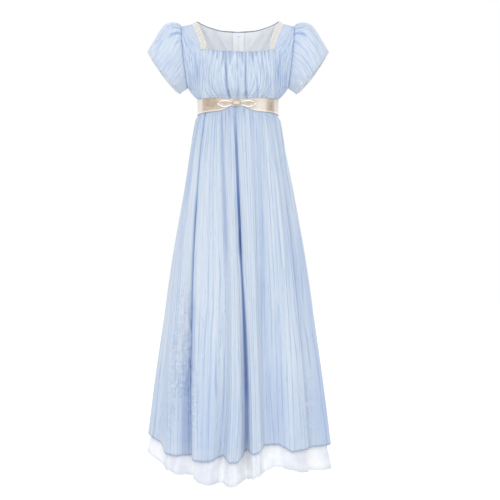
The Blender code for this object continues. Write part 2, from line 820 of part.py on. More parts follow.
def pull_axis():
    """Point on the pull tab's hinge axis, which runs along X."""
    face = slider_seat() + SLIDER_SIZE.y
    return Vector((0.0, face + AXIS_LIFT, SLIDER_Z + SLIDER_SIZE.z / 4.0))


def centre_back_depth(z):
    """Depth of the centre back at a height between its middle and its top, found by halving."""
    low, high = 0.5, 1.0
    for _ in range(24):
        middle = (low + high) / 2.0
        if CENTRE_BACK.at(middle).z < z:
            low = middle
        else:
            high = middle
    return CENTRE_BACK.at(low).y


def slider_seat():
    """Depth of the slider's inner face, just outside the cloth of the centre back."""
    return centre_back_depth(SLIDER_Z - SLIDER_SIZE.z / 2.0) + CLOTH_WALL + SEAM_GAP


def build_slider(paint, collection, helpers):
    seat = slider_seat()
    centre = Vector((0.0, seat + SLIDER_SIZE.y / 2.0, SLIDER_Z))
    slider = box("zip_slider", centre, SLIDER_SIZE, collection)
    slider.data.materials.append(paint["zip_metal"])
    round_edges(slider)
    axis = pull_axis()
    ear_x = EYE_WIDTH / 2.0 + EAR_CLEARANCE + EAR_THICKNESS / 2.0
    ear_reach = PIN_RADIUS + EAR_MARGIN
    ear_size = Vector((EAR_THICKNESS, AXIS_LIFT + ear_reach + EAR_MARGIN, EAR_HEIGHT))
    for number, x in enumerate((-ear_x, ear_x)):
        ear_y = axis.y + ear_reach - ear_size.y / 2.0
        ear = box(f"slider_ear_{number}", Vector((x, ear_y, axis.z)), ear_size, helpers)
        combine(slider, ear, "UNION")
    pin_length = 2.0 * (ear_x + PIN_OVERHANG)
    pin = rod("slider_pin", axis, PIN_RADIUS, pin_length, helpers, segments=12)
    combine(slider, pin, "UNION")


def build_pull(paint, collection, helpers):
    axis = pull_axis()
    pull = rod("zip_pull", axis, EYE_RADIUS, EYE_WIDTH, collection, segments=20)
    pull.data.materials.append(paint["zip_metal"])
    neck_size = Vector((NECK_WIDTH, TAB_THICKNESS, TAB_START + NECK_OVERLAP))
    neck = box("pull_neck", axis - Vector((0.0, 0.0, neck_size.z / 2.0)), neck_size, helpers)
    combine(pull, neck, "UNION")
    tab_size = Vector((TAB_WIDTH, TAB_THICKNESS, TAB_LENGTH - TAB_START))
    tab = box(
        "pull_tab", axis - Vector((0.0, 0.0, (TAB_START + TAB_LENGTH) / 2.0)), tab_size, helpers,
    )
    round_edges(tab)
    combine(pull, tab, "UNION")
    hole = rod("pull_hole", axis, EYE_HOLE_RADIUS, 2.0 * EYE_WIDTH, helpers, segments=16)
    combine(pull, hole, "DIFFERENCE")


def build_stop(paint, collection):
    """Metal stop at the top of the zip, on the tape's inner face."""
    (upper_y, upper_z), (lower_y, lower_z) = zip_line()[:2]
    tape_y = lerp(upper_y, lower_y, (STOP_Z - upper_z) / (lower_z - upper_z))
    slant = abs((lower_y - upper_y) / (lower_z - upper_z)) * STOP_SIZE.z / 2.0
    depth = ZIP_DEPTH + TAPE_WALL + SEAM_GAP + slant + STOP_SIZE.y / 2.0
    centre = Vector((0.0, tape_y - depth, STOP_Z))
    stop = box("zip_stop", centre, STOP_SIZE, collection)
    stop.data.materials.append(paint["zip_metal"])
    round_edges(stop)


def main():
    clear_scene()
    collection = new_collection("regency_gown")
    helpers = new_collection("helpers")
    paint = {
        "blue_cloth": material("blue_cloth", (0.58, 0.70, 0.86), 0.8),
        "white_lining": material("white_lining", (0.82, 0.84, 0.88), 0.7),
        "ivory_lace": material("ivory_lace", (0.80, 0.76, 0.68), 0.85),
        "satin": material("satin", (0.70, 0.58, 0.46), 0.35),
        "zip_tape": material("zip_tape", (0.84, 0.82, 0.86), 0.8),
        "zip_metal": material("zip_metal", (0.62, 0.64, 0.68), 0.35, 0.9),
    }
    build_bodice(paint, collection)
    build_lace(paint, collection)
    build_sleeves(paint, collection)
    build_skirt(
        "skirt", outer_layer, CLOTH_WALL, SKIRT_ROWS + (-HEM_Z,), paint["blue_cloth"], collection,
    )
    build_skirt(
        "underskirt", under_layer, LINING_WALL, UNDERSKIRT_ROWS + (-UNDER_HEM_Z,),
        paint["white_lining"], collection,
    )
    build_belt(paint, collection)
    build_bow(paint, collection)
    build_zip(paint, collection)
    build_stop(paint, collection)
    build_slider(paint, collection, helpers)
    build_pull(paint, collection, helpers)


main()
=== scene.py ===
"""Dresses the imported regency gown: thin cloth sheets with their gathers, creases and hems, lace, satin
ribbon and zip, with materials, light and camera. Sizes are in millimetres until a mesh is made."""
import json
import math
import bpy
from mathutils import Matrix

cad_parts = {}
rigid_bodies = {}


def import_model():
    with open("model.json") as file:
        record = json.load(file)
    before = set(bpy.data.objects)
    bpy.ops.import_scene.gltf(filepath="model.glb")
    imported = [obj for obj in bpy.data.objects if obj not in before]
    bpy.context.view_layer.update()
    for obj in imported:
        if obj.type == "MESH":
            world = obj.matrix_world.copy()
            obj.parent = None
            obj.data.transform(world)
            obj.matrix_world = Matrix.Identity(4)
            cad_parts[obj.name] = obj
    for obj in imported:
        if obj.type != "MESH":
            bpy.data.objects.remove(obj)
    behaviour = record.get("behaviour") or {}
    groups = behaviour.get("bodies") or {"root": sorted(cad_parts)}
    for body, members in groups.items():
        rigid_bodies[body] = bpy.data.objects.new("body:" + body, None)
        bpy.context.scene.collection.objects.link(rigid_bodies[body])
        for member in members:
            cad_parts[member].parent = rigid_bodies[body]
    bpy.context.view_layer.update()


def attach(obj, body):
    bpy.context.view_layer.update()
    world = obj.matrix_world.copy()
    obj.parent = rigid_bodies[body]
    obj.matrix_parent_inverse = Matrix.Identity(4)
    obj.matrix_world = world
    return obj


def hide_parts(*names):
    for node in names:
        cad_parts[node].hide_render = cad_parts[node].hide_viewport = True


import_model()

from types import SimpleNamespace

import bpy
import numpy as np
from mathutils import Vector

MM = 0.001
PI = math.pi

# Sizes shared with the solids
CLOTH_WALL = 1.2
LINING_WALL = 1
WAIST_Z = -262
WAIST_HALF_WIDTH = 119.5
WAIST_FRONT = 99.5
WAIST_BACK = 91.5
PRINCESS_ANGLE = math.radians(65)
FRONT_NECK_CENTRE = np.array((0, -105, -104))
SHOULDER_Y = 5
STRAP_POINT = np.array((141.5, SHOULDER_Y, -1))
ARMHOLE_TOP = np.array((171, SHOULDER_Y, -8))
UNDERARM = np.array((152, SHOULDER_Y, -196))
ARMHOLE_FRONT = 63
ARMHOLE_BACK = 55
ARMHOLE_BOW = 2.5
ARMHOLE_SPREAD = 1.4
BACK_TURN = math.radians(64)
SLEEVE_START_TOP = 0.8
SLEEVE_START_LOW = 1.7
HEM_DROP = 1295
UNDER_HEM_DROP = 1357
BELT_LOW_DROP = 281
GATHER_DROP = 296
LACE_AT_CORNER = np.array((-1, -0.38, -0.16))
LACE_AT_SHOULDER = np.array((-1, 0, 0.48))
FRONT_GATHERS = 16
SLEEVE_GATHERS = 8
CORNER_V = 0.45
UNDERARM_V = 0.46 * CORNER_V
FOLD_COUNT = 30
RIGHT_SEAM = 6
LEFT_SEAM = 24
GATHER_RATIO = 0.11
WAIST_GATHER_FADE = 230
FOLD_START = 285
FOLD_POWER = 0.8
HEM_RAISE_POWER = 2
BELT_WALL = 1
BELT_GAP = 0.8
BELT_FLARE = 0.06
LOOP_LENGTH = 46
LOOP_START = 11
LOOP_LIFT = 0.5
LAYER_GAP = 0.4
KNOT_SIZE = (23, 10, 24)
KNOT_Z = -254.5
BOW_CENTRE_X = -3
BOW_Z = -257
TAPE_HALF_WIDTH = 17
TAPE_TOP = 0.985
ZIP_DEPTH = 2.2
TAPE_ROUNDING = 0.0028


def vec(*parts):
    """Numbers and grids of numbers as one grid of points."""
    return np.stack(np.broadcast_arrays(*parts), axis=-1).astype(float)


class Sections:
    """A table of named sizes, read smoothly between its rows by the first column."""

    def __init__(self, names, rows):
        self.names = names.split()
        self.table = np.array(rows, float)
        self.stations = self.table[:, 0]
        steps = np.diff(self.table, axis=0) / np.diff(self.stations)[:, None]
        before, after = steps[:-1], steps[1:]
        turns = before * after <= 0
        total = np.where(turns, 1, before + after)
        middle = np.where(turns, 0, 2 * before * after / total)
        self.slopes = np.vstack((steps[:1], middle, steps[-1:]))

    def at(self, station):
        station = np.asarray(station, float)
        index = np.clip(np.searchsorted(self.stations, station) - 1, 0, len(self.stations) - 2)
        span = self.stations[index + 1] - self.stations[index]
        t = np.clip((station - self.stations[index]) / span, 0, 1)[..., None]
        span = span[..., None]
        found = (
            self.table[index] * (1 + 2 * t) * (1 - t) ** 2
            + self.table[index + 1] * t * t * (3 - 2 * t)
            + self.slopes[index] * span * t * (1 - t) ** 2
            + self.slopes[index + 1] * span * t * t * (t - 1)
        )
        return SimpleNamespace(**{name: found[..., i] for i, name in enumerate(self.names)})

    def point(self, station):
        row = self.at(station)
        return vec(row.x, row.y, row.z)


PRINCESS_SEAM = Sections("t x y z", [
    (0, 108.3, -42, WAIST_Z),
    (0.1, 109.8, -42.8, -234),
    (0.2, 112, -51, -226),
    (0.32, 112.5, -64, -212),
    (0.46, 111, -76, -190),
    (0.6, 109.5, -84, -167),
    (0.74, 109.5, -87, -142),
    (0.88, 110.5, -85, -117),
    (1, 111, -80, -93),
])
STRAP_EDGE = Sections("t x y z lace_left lace_right", [
    (0, 111, -80, -93, 13, 22),
    (0.2, 114, -71, -74, 17, 21),
    (0.45, 122, -57, -50, 20, 19),
    (0.7, 131, -37, -26, 20, 18),
    (0.87, 138, -15, -9, 18.5, 18),
    (1, 141.5, 5, -1, 18, 18),
])
SIDE_SEAM = Sections("t x y z", [
    (0, WAIST_HALF_WIDTH, 0, WAIST_Z),
    (0.22, 121, 0, -233),
    (0.45, 130, 1, -224),
    (0.7, 142, 3, -211),
    (1, 152, SHOULDER_Y, -196),
])
CENTRE_BACK = Sections("t y z", [
    (0, WAIST_BACK, WAIST_Z),
    (0.05, WAIST_BACK + 1, -236),
    (0.12, 95, -222),
    (0.45, 99, -150),
    (0.8, 93, -60),
    (1, 85, -7),
])
BACK_TOP = Sections("u x y z", [
    (0, 0, 85, -7),
    (0.25, 48, 82.5, -4.5),
    (0.48, 88, 64, 2),
    (0.62, 111, 35, 6),
    (0.74, 125, SHOULDER_Y, 7),
    (0.82, 141.5, SHOULDER_Y, -1),
    (1, 171, SHOULDER_Y, -8),
])
SKIRT = Sections("drop half_width front back", [
    (262, 120.7, 100.7, 92.7),
    (281, 121.5, 101.7, 93.7),
    (296, 126.5, 108, 99),
    (340, 135.5, 118, 109),
    (420, 149.5, 132, 122),
    (560, 172.5, 152, 142),
    (740, 199.5, 178, 167),
    (930, 223, 201, 190),
    (1120, 246, 217, 207),
    (1295, 264, 227, 218),
    (1357, 270, 231, 222),
])
UNDERSKIRT_DEPTH = Sections("drop depth", [
    (262, 2),
    (296, 2),
    (420, 3.2),
    (930, 9),
    (1300, 9),
    (1357, 3),
])
FOLDS = Sections("fold waist_angle middle_angle hem_angle out raised under_raised", [
    (0, -180, -179.5, -179, -24, 12, 10),
    (1, -166, -165.5, -165, 17, 2, 4),
    (2, -151, -150.5, -150, -26, 14, 16),
    (3, -136, -136, -136, 15, 4, 6),
    (4, -120, -119.5, -119, -22, 26, 28),
    (5, -104, -99, -95, 13, 46, 48),
    (6, -90, -77, -66, -12, 34, 36),
    (7, -78, -61, -47, 16, 14, 28),
    (8, -66, -50, -39.5, 17, 14, 22),
    (9, -54, -42.5, -33, -24, 12, 16),
    (10, -43, -33.5, -26.5, 15, 4, 12),
    (11, -33, -20, -17, 17, 5, 0),
    (12, -24, -9, -9.5, -17, 18, 4),
    (13, -16.5, -4.5, -4.5, 12, 2, -3),
    (14, -10, -0.5, 0, 13, 4, 2),
    (15, -4, 4, 6.5, -32, 34, 10),
    (16, 4, 8.5, 9.5, 12, 25, 18),
    (17, 14, 13.5, 13.5, 12, 32, 24),
    (18, 26, 20.5, 19.5, -22, 46, 30),
    (19, 37, 31, 27.5, -14, 46, 42),
    (20, 46, 41, 35.5, 14, 27, 32),
    (21, 55, 50, 45, 16, 28, 24),
    (22, 66, 64, 62, -22, 20, 15),
    (23, 85, 84, 83, 19, 20, 10),
    (24, 104, 104, 104, -24, 24, 14),
    (25, 118, 118, 118, 15, 8, 6),
    (26, 131, 130.5, 130, -20, 16, 14),
    (27, 144, 143.5, 143, 16, 2, 4),
    (28, 156, 156.5, 157, -18, 10, 12),
    (29, 167, 167, 167, 12, 6, 6),
    (30, 180, 180.5, 181, -24, 12, 10),
])
SLEEVE = Sections("ring top_x top_z low_x low_z front back bow hang", [
    (0, 171, -8, 152, -196, ARMHOLE_FRONT, ARMHOLE_BACK, ARMHOLE_BOW, 0),
    (0.07, 179, 0.5, 153.5, -197.5, 66.5, 59, 3, 0),
    (0.2, 197, 3.5, 157, -200, 72, 66, 5, 1),
    (0.4, 221, -5, 163, -203, 78, 72, 8, 3),
    (0.6, 240, -27, 169, -206.5, 79, 74, 9.5, 4),
    (0.8, 257, -54, 174, -210, 77, 73, 7, 5.5),
    (1, 275.5, -87, 178.5, -212, 73, 70, 1, 6),
])
BELT = Sections("angle top bottom", [
    (0, -243, -264.5),
    (9, -242.5, -265.5),
    (17, -241.5, -272),
    (26, -240, -277.5),
    (50, -237, -279),
    (90, -234.5, -280),
    (180, -234, -280),
])
LOOP = Sections("t half_height hollow", [
    (0, 3, 0.6),
    (0.2, 7.4, 1.8),
    (0.5, 11.2, 3),
    (0.75, 9.2, 2.4),
    (1, 1.4, 0.3),
])


# Points and tables of points

def lerp(a, b, t):
    t = np.asarray(t, float)
    if max(np.ndim(a), np.ndim(b)) > 0:
        t = t[..., None]
    return a * (1 - t) + b * t


def smooth(a, b, x):
    """0 at a and 1 at b, softly."""
    t = np.clip((x - a) / (b - a), 0, 1)
    return t * t * (3 - 2 * t)


def bell(x, centre, width):
    return np.exp(-(((x - centre) / width) ** 2))


def grid(first, last, columns, low, high, rows):
    """Two stations at the points of a grid, across and along."""
    return np.meshgrid(np.linspace(first, last, columns), np.linspace(low, high, rows))


def unit(v):
    return v / np.maximum(np.linalg.norm(v, axis=-1, keepdims=True), 1e-9)


NOISE_KNOTS = (97, 89)


def noise(x, y, seed):
    """Smooth noise from -1 to 1, one knot a unit along x and y."""
    knots = np.random.default_rng(seed).random(NOISE_KNOTS) * 2 - 1
    i, j = np.floor(x).astype(int), np.floor(y).astype(int)
    s, t = smooth(0, 1, x - i), smooth(0, 1, y - j)
    left, right = i % NOISE_KNOTS[0], (i + 1) % NOISE_KNOTS[0]
    low, high = (
        knots[left, row % NOISE_KNOTS[1]] * (1 - s) + knots[right, row % NOISE_KNOTS[1]] * s
        for row in (j, j + 1)
    )
    return low * (1 - t) + high * t


def grid_normals(points, inside=None, closed=False):
    """Unit normals of a grid of points (rows, columns, 3), away from the inside points, which are the
    gown's upright middle line if none are given."""
    away = from_axis(points) if inside is None else points - inside
    if closed:
        ring = np.concatenate((points[:, -2:-1], points, points[:, 1:2]), axis=1)
        across = ring[:, 2:] - ring[:, :-2]
    else:
        across = np.gradient(points, axis=1)
    found = unit(np.cross(across, np.gradient(points, axis=0)))
    return found if (found * away).sum() > 0 else -found


def arc(points, axis):
    """Distance along a grid's rows (axis 1) or columns (axis 0) from their starts."""
    steps = np.linalg.norm(np.diff(points, axis=axis), axis=-1)
    pad = [(0, 0), (0, 0)]
    pad[axis] = (1, 0)
    return np.cumsum(np.pad(steps, pad), axis=axis)


def nearest_end(distance):
    """Distance along each row from the nearer of its two ends."""
    return np.minimum(distance, distance[:, -1:] - distance)


def from_axis(points):
    """Straight out from the gown's upright middle line."""
    return points * np.array((1, 1, 0))


def to_front(_):
    return np.array((0, -1, 0))


def mirrored(points, side):
    return points * np.array((side, 1, 1))


# Sheets

def corners(points):
    """What stands at the four corners of each cell of a grid."""
    return np.stack((points[:-1, :-1], points[:-1, 1:], points[1:, 1:], points[1:, :-1]), axis=2)


def add_object(name, data):
    item = bpy.data.objects.new(name, data)
    bpy.context.scene.collection.objects.link(item)
    return item


def mesh_piece(mesh, paint, slot, nodes):
    """A smooth, painted mesh as a piece of the gown, in the place of these nodes."""
    mesh.shade_smooth()
    mesh.materials.append(paint)
    item = add_object(mesh.name, mesh)
    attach(item, "gown")
    if nodes:
        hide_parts(*nodes)
    return item


def sheet_piece(
    name, node, look, points, flat, outward=from_axis, closed=False, keep=None, lead=0, **values
):
    """A smooth sheet through a grid of points in mm, in its solid's place. Its flat cloth coordinates
    are a UV map in metres, and its values are named values at its points for its material. The rows
    turned round its first edge (lead) and its last edge copy what is at that edge."""
    rows, columns = points.shape[:2]
    count = columns - 1 if closed else columns

    def whole(field):
        tail = rows - len(field) - lead
        return np.concatenate((np.repeat(field[:1], lead, 0), field, np.repeat(field[-1:], tail, 0)))

    index = np.arange(rows * count).reshape(rows, count)
    if closed:
        index = np.concatenate((index, index[:, :1]), axis=1)
    quads, uv = corners(index).reshape(-1, 4), corners(whole(flat)).reshape(-1, 4, 2)
    if keep is not None:
        quads, uv = quads[keep.ravel()], uv[keep.ravel()]
    used, quads = np.unique(quads, return_inverse=True)
    quads = quads.reshape(-1, 4)
    places = points[:, :count].reshape(-1, 3)[used]
    mesh = bpy.data.meshes.new(name)
    mesh.from_pydata((places * MM).tolist(), [], quads.tolist())
    mesh.uv_layers.new(name="cloth").uv.foreach_set("vector", (uv * MM).astype(np.float32).ravel())
    for key, field in values.items():
        field = whole(field) if np.ndim(field) else np.full((rows, columns), field)
        field = field[:, :count].ravel()[used]
        mesh.attributes.new(key, "FLOAT", "POINT").data.foreach_set("value", field.astype(np.float32))
    corner = places[quads]
    facing = np.cross(corner[:, 2] - corner[:, 0], corner[:, 3] - corner[:, 1])
    if (facing * outward(corner.mean(axis=1))).sum() < 0:
        mesh.flip_normals()
    return mesh_piece(mesh, *look, [node])


def turned_edge(points, normal, lift, depth=0, deep=0):
    """Adds rows round the last edge and back inside: this far, or along this many of the sheet's rows."""
    inward = -normal[-1:]
    run = unit(points[-2:-1] - points[-1:])
    rows = [
        points[-1:] + inward * lift * 0.5 * (1 - math.cos(turn)) - run * 0.6 * math.sin(turn)
        for turn in (0.35 * PI, 0.75 * PI, PI)
    ]
    if depth:
        rows += [points[-1:] + inward * lift + run * depth * share for share in (0.35, 1)]
    for k in range(1, deep + 1):
        rows.append(points[-1 - k:len(points) - k] - normal[-1 - k:len(points) - k] * lift)
    return np.concatenate((points, *rows), axis=0)


def closed_edges(points, normal, inward, rise):
    """Adds a row inside the first edge and one inside the last."""
    step = np.array((0, 0, rise))
    lower = points[:1] - normal[:1] * inward + step
    upper = points[-1:] - normal[-1:] * inward - step
    return np.concatenate((lower, points, upper), axis=0)


# Materials

class Paint:
    """A Principled material, made by laying colours over its first tone."""

    def __init__(self, name, colour, roughness, tone=None, **sockets):
        self.material = bpy.data.materials.new(name)
        self.material.use_nodes = True
        self.tree = self.material.node_tree
        self.shader = self.tree.nodes["Principled BSDF"]
        self.tone = tone or colour
        sockets.update(Base_Color=colour, Roughness=roughness)
        self.fill(self.shader, sockets)

    def fill(self, node, inputs):
        """Sets or links a node's inputs, by their names, or by their numbers as i0, i1."""
        for key, value in inputs.items():
            socket = node.inputs[int(key[1:]) if key[1:].isdigit() else key.replace("_", " ")]
            if isinstance(value, bpy.types.NodeSocket):
                self.tree.links.new(value, socket)
            else:
                socket.default_value = (*value, 1) if socket.type == "RGBA" else value

    def node(self, kind, settings=None, **inputs):
        made = self.tree.nodes.new("ShaderNode" + kind)
        for key, value in (settings or {}).items():
            setattr(made, key, value)
        self.fill(made, inputs)
        return made

    def math(self, operation, a, b=0):
        return self.node("Math", {"operation": operation}, i0=a, i1=b).outputs[0]

    def product(self, first, *others):
        for other in others:
            first = self.math("MULTIPLY", first, other)
        return first

    def relief(self, *parts):
        """The sum of values, each times its weight."""
        total = 0
        for value, weight in parts:
            total = self.math("ADD", total, self.product(value, weight))
        return total

    def cloth(self):
        return self.node("UVMap", {"uv_map": "cloth"}).outputs["UV"]

    def times(self, place, *scale):
        made = self.node("VectorMath", {"operation": "MULTIPLY"}, i0=place, i1=scale)
        return made.outputs["Vector"]

    def noise(self, across, along, detail=2, distortion=0, roughness=0.5):
        """Noise over the flat cloth, with this many units a metre across and along."""
        made = self.node(
            "TexNoise", {"noise_dimensions": "2D"}, Vector=self.times(self.cloth(), across, along, 1),
            Scale=1, Detail=detail, Distortion=distortion, Roughness=roughness,
        )
        return made.outputs["Fac"]

    def grain(self, place, scale, detail):
        """Noise through the solid object."""
        return self.node("TexNoise", None, Vector=place, Scale=scale, Detail=detail).outputs["Fac"]

    def span(self, value, low, high, to_low=0, to_high=1):
        made = self.node(
            "MapRange", {"interpolation_type": "SMOOTHSTEP"}, Value=value,
            From_Min=low, From_Max=high, To_Min=to_low, To_Max=to_high,
        )
        return made.outputs["Result"]

    def layers(self, *rows):
        """Lays colours over the tone, each by the product of its factors; a text is a named value."""
        for colour, *factors in rows:
            factors = [
                self.node("Attribute", {"attribute_name": factor}).outputs["Fac"]
                if isinstance(factor, str) else factor for factor in factors
            ]
            self.tone = self.node(
                "Mix", {"data_type": "RGBA", "clamp_factor": True},
                i0=self.product(*factors), i6=self.tone, i7=colour,
            ).outputs[2]

    def finish(self, value, smoothest, roughest, height, distance, strength, through=0):
        """Roughness by a value, a bump, and a share of the light let through."""
        bump = self.node("Bump", None, Height=height, Distance=distance, Strength=strength).outputs[0]
        rough = self.span(value, 0.2, 0.8, smoothest, roughest)
        self.fill(self.shader, {"Base_Color": self.tone, "Roughness": rough, "Normal": bump})
        if through:
            glow = self.node("BsdfTranslucent", None, Color=self.tone, Normal=bump).outputs[0]
            both = self.node("MixShader", None, Fac=through, i1=self.shader.outputs[0], i2=glow)
            self.fill(self.tree.nodes["Material Output"], {"Surface": both.outputs[0]})
        return self.material


# The pale blue lays painted light and painted highlights, and the paler turned-up hem; the deep blue is
# painted shade; the fold blue is deeper painted shade in hollows; the edge blue draws dark seam and hem
# lines and paints shade in the bodice's folds; the hem light is painted light on the sleeves' turned-in
# hems; the rim grey is the back neck's edge line.
BLUE_PALE = (0.71, 0.765, 0.825)
BLUE_LIGHT = (0.66, 0.728, 0.81)
BLUE_MID = (0.475, 0.585, 0.75)
BLUE_LINE = (0.31, 0.42, 0.62)
BLUE_PAINTED_SHADE = (0.13, 0.27, 0.62)
BLUE_HOLLOW_SHADE = (0.105, 0.2, 0.47)
BLUE_EDGE_AND_FOLD_SHADE = (0.27, 0.36, 0.52)
HEM_PAINTED_LIGHT = (0.93, 0.91, 0.93)
RIM_GREY = (0.2, 0.225, 0.24)


def blue_cloth():
    """Crinkled semi-sheer cloth: uneven lengthwise stripes, thin darker lines and a fine weave, with
    painted shade and painted highlights laid over them.
    """
    p = Paint(
        "blue_crinkle_cloth", BLUE_LIGHT, 0.72,
        Sheen_Weight=0.18, Sheen_Roughness=0.4, Specular_IOR_Level=0.25,
    )
    broad = p.noise(15, 0.9, 2, 0.3)
    fine = p.noise(88, 2.4, 3, 0.6)
    across = p.node("SeparateXYZ", None, Vector=p.cloth()).outputs["X"]
    wander = p.product(p.noise(13, 2.2, 2, 0.4), 1.35)
    phase = p.math("ADD", p.product(across, 36), wander)
    line = p.span(p.math("SINE", p.product(phase, 2 * PI)), 0.7, 0.99)
    part = p.span(p.noise(24, 5, 1), 0.36, 0.62, 0.15, 1)
    second = p.math("ABSOLUTE", p.math("SUBTRACT", p.noise(60, 3.2, 2, 1, 0.5), 0.5))
    crease = p.noise(120, 42, 4, 1.6, 0.6)
    crackle = p.noise(24, 78, 3, 1.2, 0.6)
    crinkle = p.noise(125, 15, 3, 0.4, 0.65)
    weave = p.product(p.noise(1500, 300, 0), p.noise(300, 1500, 0))
    crumple = p.node("Attribute", {"attribute_name": "crumple"}).outputs["Fac"]
    p.layers(
        (BLUE_MID, p.span(broad, 0.36, 0.7), 0.26),
        (BLUE_MID, p.span(fine, 0.46, 0.7), 0.46),
        (BLUE_LINE, line, part, 0.62),
        (BLUE_LINE, p.span(second, 0, 0.03, 1, 0), 0.4),
        # Light and dark flecks of the crease, crackle and crinkle noises: painted shade and painted
        # highlights of fine crinkles and crumples.
        (BLUE_LINE, p.span(crease, 0.58, 0.78), 0.2),
        (BLUE_PALE, p.span(crease, 0.42, 0.25), 0.22),
        (BLUE_LINE, p.span(crackle, 0.53, 0.66), crumple, 0.38),
        (BLUE_PALE, p.span(crackle, 0.46, 0.36), crumple, 0.7),
        (BLUE_LINE, p.span(crinkle, 0.51, 0.64), "crisp", 0.48),
        (BLUE_PALE, p.span(crinkle, 0.5, 0.38), "crisp", 0.8),
        (BLUE_MID, p.span(weave, 0.12, 0.45), 0.12),
        # Named values: painted light, painted shade, deeper painted shade in hollows, seam and hem lines
        # with painted fold shade, painted light on hems, and the neck's edge line.
        (BLUE_PALE, "pale"),
        (BLUE_PAINTED_SHADE, "shade"),
        (BLUE_HOLLOW_SHADE, "fold"),
        (BLUE_EDGE_AND_FOLD_SHADE, "edge"),
        (HEM_PAINTED_LIGHT, "light"),
        (RIM_GREY, "rim"),
    )
    relief = p.relief(
        (broad, 0.9), (fine, 0.35), (crease, 0.25), (weave, 0.1), (line, -0.3),
        (p.product(crackle, crumple), -2),
    )
    return p.finish(fine, 0.64, 0.82, relief, 0.0016, 0.8, through=0.16)


def white_lining():
    p = Paint(
        "white_lining_cloth", (0.86, 0.88, 0.92), 0.55, (0.955, 0.96, 0.965),
        Sheen_Weight=0.1, Specular_IOR_Level=0.35,
    )
    fold = p.noise(26, 5, 3, 0.6)
    weave = p.noise(1400, 1400, 1)
    crease = p.noise(70, 70, 4, 1.5, 0.6)
    # fold and crease darken where they also raise the bump: painted shade of soft folds. The weave is the
    # cloth's own. The near white lays painted light, the grey-blue lays painted shade, and the grey
    # darkens the centre back edge, paints a contact shadow beside the zip tape and draws the underskirt's
    # hem line.
    p.layers(
        ((0.9, 0.91, 0.93), p.span(fold, 0.35, 0.7)),
        ((0.7, 0.74, 0.82), p.span(crease, 0.55, 0.75), 0.2),
        ((0.7, 0.73, 0.8), p.span(weave, 0.4, 0.7), 0.08),
        ((0.99, 0.99, 0.985), "pale"),
        ((0.5, 0.55, 0.66), "shade"),
        ((0.66, 0.69, 0.76), "edge"),
    )
    relief = p.relief((fold, 0.8), (crease, 0.35), (weave, 0.06))
    return p.finish(weave, 0.48, 0.62, relief, 0.0014, 0.7, through=0.14)


def ivory_lace():
    p = Paint("ivory_lace_thread", (0.8, 0.76, 0.68), 0.8, (0.44, 0.45, 0.45), Sheen_Weight=0.2)
    thread = p.noise(1900, 1900, 2)
    patch = p.noise(160, 160, 2)
    p.layers(
        ((0.84, 0.83, 0.8), "raised"),
        ((0.76, 0.67, 0.56), p.span(patch, 0.47, 0.62), 0.6),
        ((0.6, 0.56, 0.48), p.span(thread, 0.5, 0.7), 0.25),
    )
    return p.finish(thread, 0.7, 0.9, thread, 0.0003, 0.6)


def satin():
    """Champagne satin: warm in the deeper tone, near white where it catches the light; its bands of sheen
    and shade are painted into its colour.
    """
    p = Paint(
        "champagne_satin", (0.75, 0.65, 0.53), 0.3, (0.37, 0.286, 0.203),
        Sheen_Weight=0.15, Anisotropic=0.5,
    )
    thread = p.noise(90, 2600, 1)
    cloud = p.noise(22, 45, 3, 0.8)
    p.layers(
        # tone: painted sheen and shade over the deeper tone; peach and bright: painted highlights; white:
        # the painted highlight of the bow's rims; edge: painted shade in folds and grooves. The cloud is
        # the satin's own.
        ((0.7, 0.635, 0.555), "tone"),
        ((0.66, 0.59, 0.5), p.span(cloud, 0.4, 0.68), 0.35),
        ((0.88, 0.7, 0.54), "peach"),
        ((0.83, 0.8, 0.76), "bright"),
        ((0.96, 0.94, 0.91), "white"),
        ((0.42, 0.33, 0.24), "edge"),
    )
    return p.finish(thread, 0.26, 0.38, p.relief((thread, 0.3), (cloud, 1)), 0.0004, 0.6)


def zip_tape_paint():
    p = Paint("woven_zip_tape", (0.86, 0.83, 0.88), 0.75, (0.975, 0.96, 0.985), Sheen_Weight=0.1)
    twill = p.node(
        "TexWave", {"wave_type": "BANDS", "bands_direction": "DIAGONAL"},
        Vector=p.times(p.cloth(), 900, 900, 1), Scale=0.8, Distortion=0.4, Detail=1,
    ).outputs["Fac"]
    cloud = p.noise(120, 60, 2)
    p.layers(
        # twill and cloud are the tape's own; bright lays a painted highlight.
        ((0.88, 0.86, 0.9), twill, 0.25),
        ((0.95, 0.92, 0.96), p.span(cloud, 0.4, 0.7), 0.25),
        ((0.99, 0.99, 0.99), "bright"),
    )
    return p.finish(cloud, 0.7, 0.85, twill, 0.0002, 0.6)


def zip_metal():
    p = Paint("satin_zip_metal", (0.62, 0.64, 0.68), 0.34, (0.66, 0.68, 0.72), Metallic=1)
    place = p.node("TexCoord").outputs["Object"]
    brushed = p.grain(p.times(place, 9000, 9000, 900), 1, 2)
    p.layers(((0.5, 0.52, 0.57), p.span(p.grain(place, 500, 3), 0.4, 0.7)))
    return p.finish(brushed, 0.26, 0.45, brushed, 0.00004, 0.4)


def coil_paint():
    p = Paint("zip_coil_nylon", (0.84, 0.84, 0.88), 0.4, (0.97, 0.965, 0.985), Specular_IOR_Level=0.4)
    grain = p.grain(p.node("TexCoord").outputs["Object"], 900, 2)
    p.layers(((0.88, 0.88, 0.92), p.span(grain, 0.35, 0.7)))
    return p.finish(grain, 0.34, 0.5, grain, 0.0001, 0.5)


# Looks: a material and the name of a slot
BLUE = blue_cloth(), "blue_cloth"
WHITE = white_lining(), "white_lining"
IVORY = ivory_lace(), "ivory_lace"
SATIN = satin(), "satin_ribbon"
TAPE = zip_tape_paint(), "zip_tape"
METAL = zip_metal()
COIL = coil_paint(), "zip_tape"


# Creases: soft troughs (depth below 0) and ridges on a sheet, placed by its own two stations

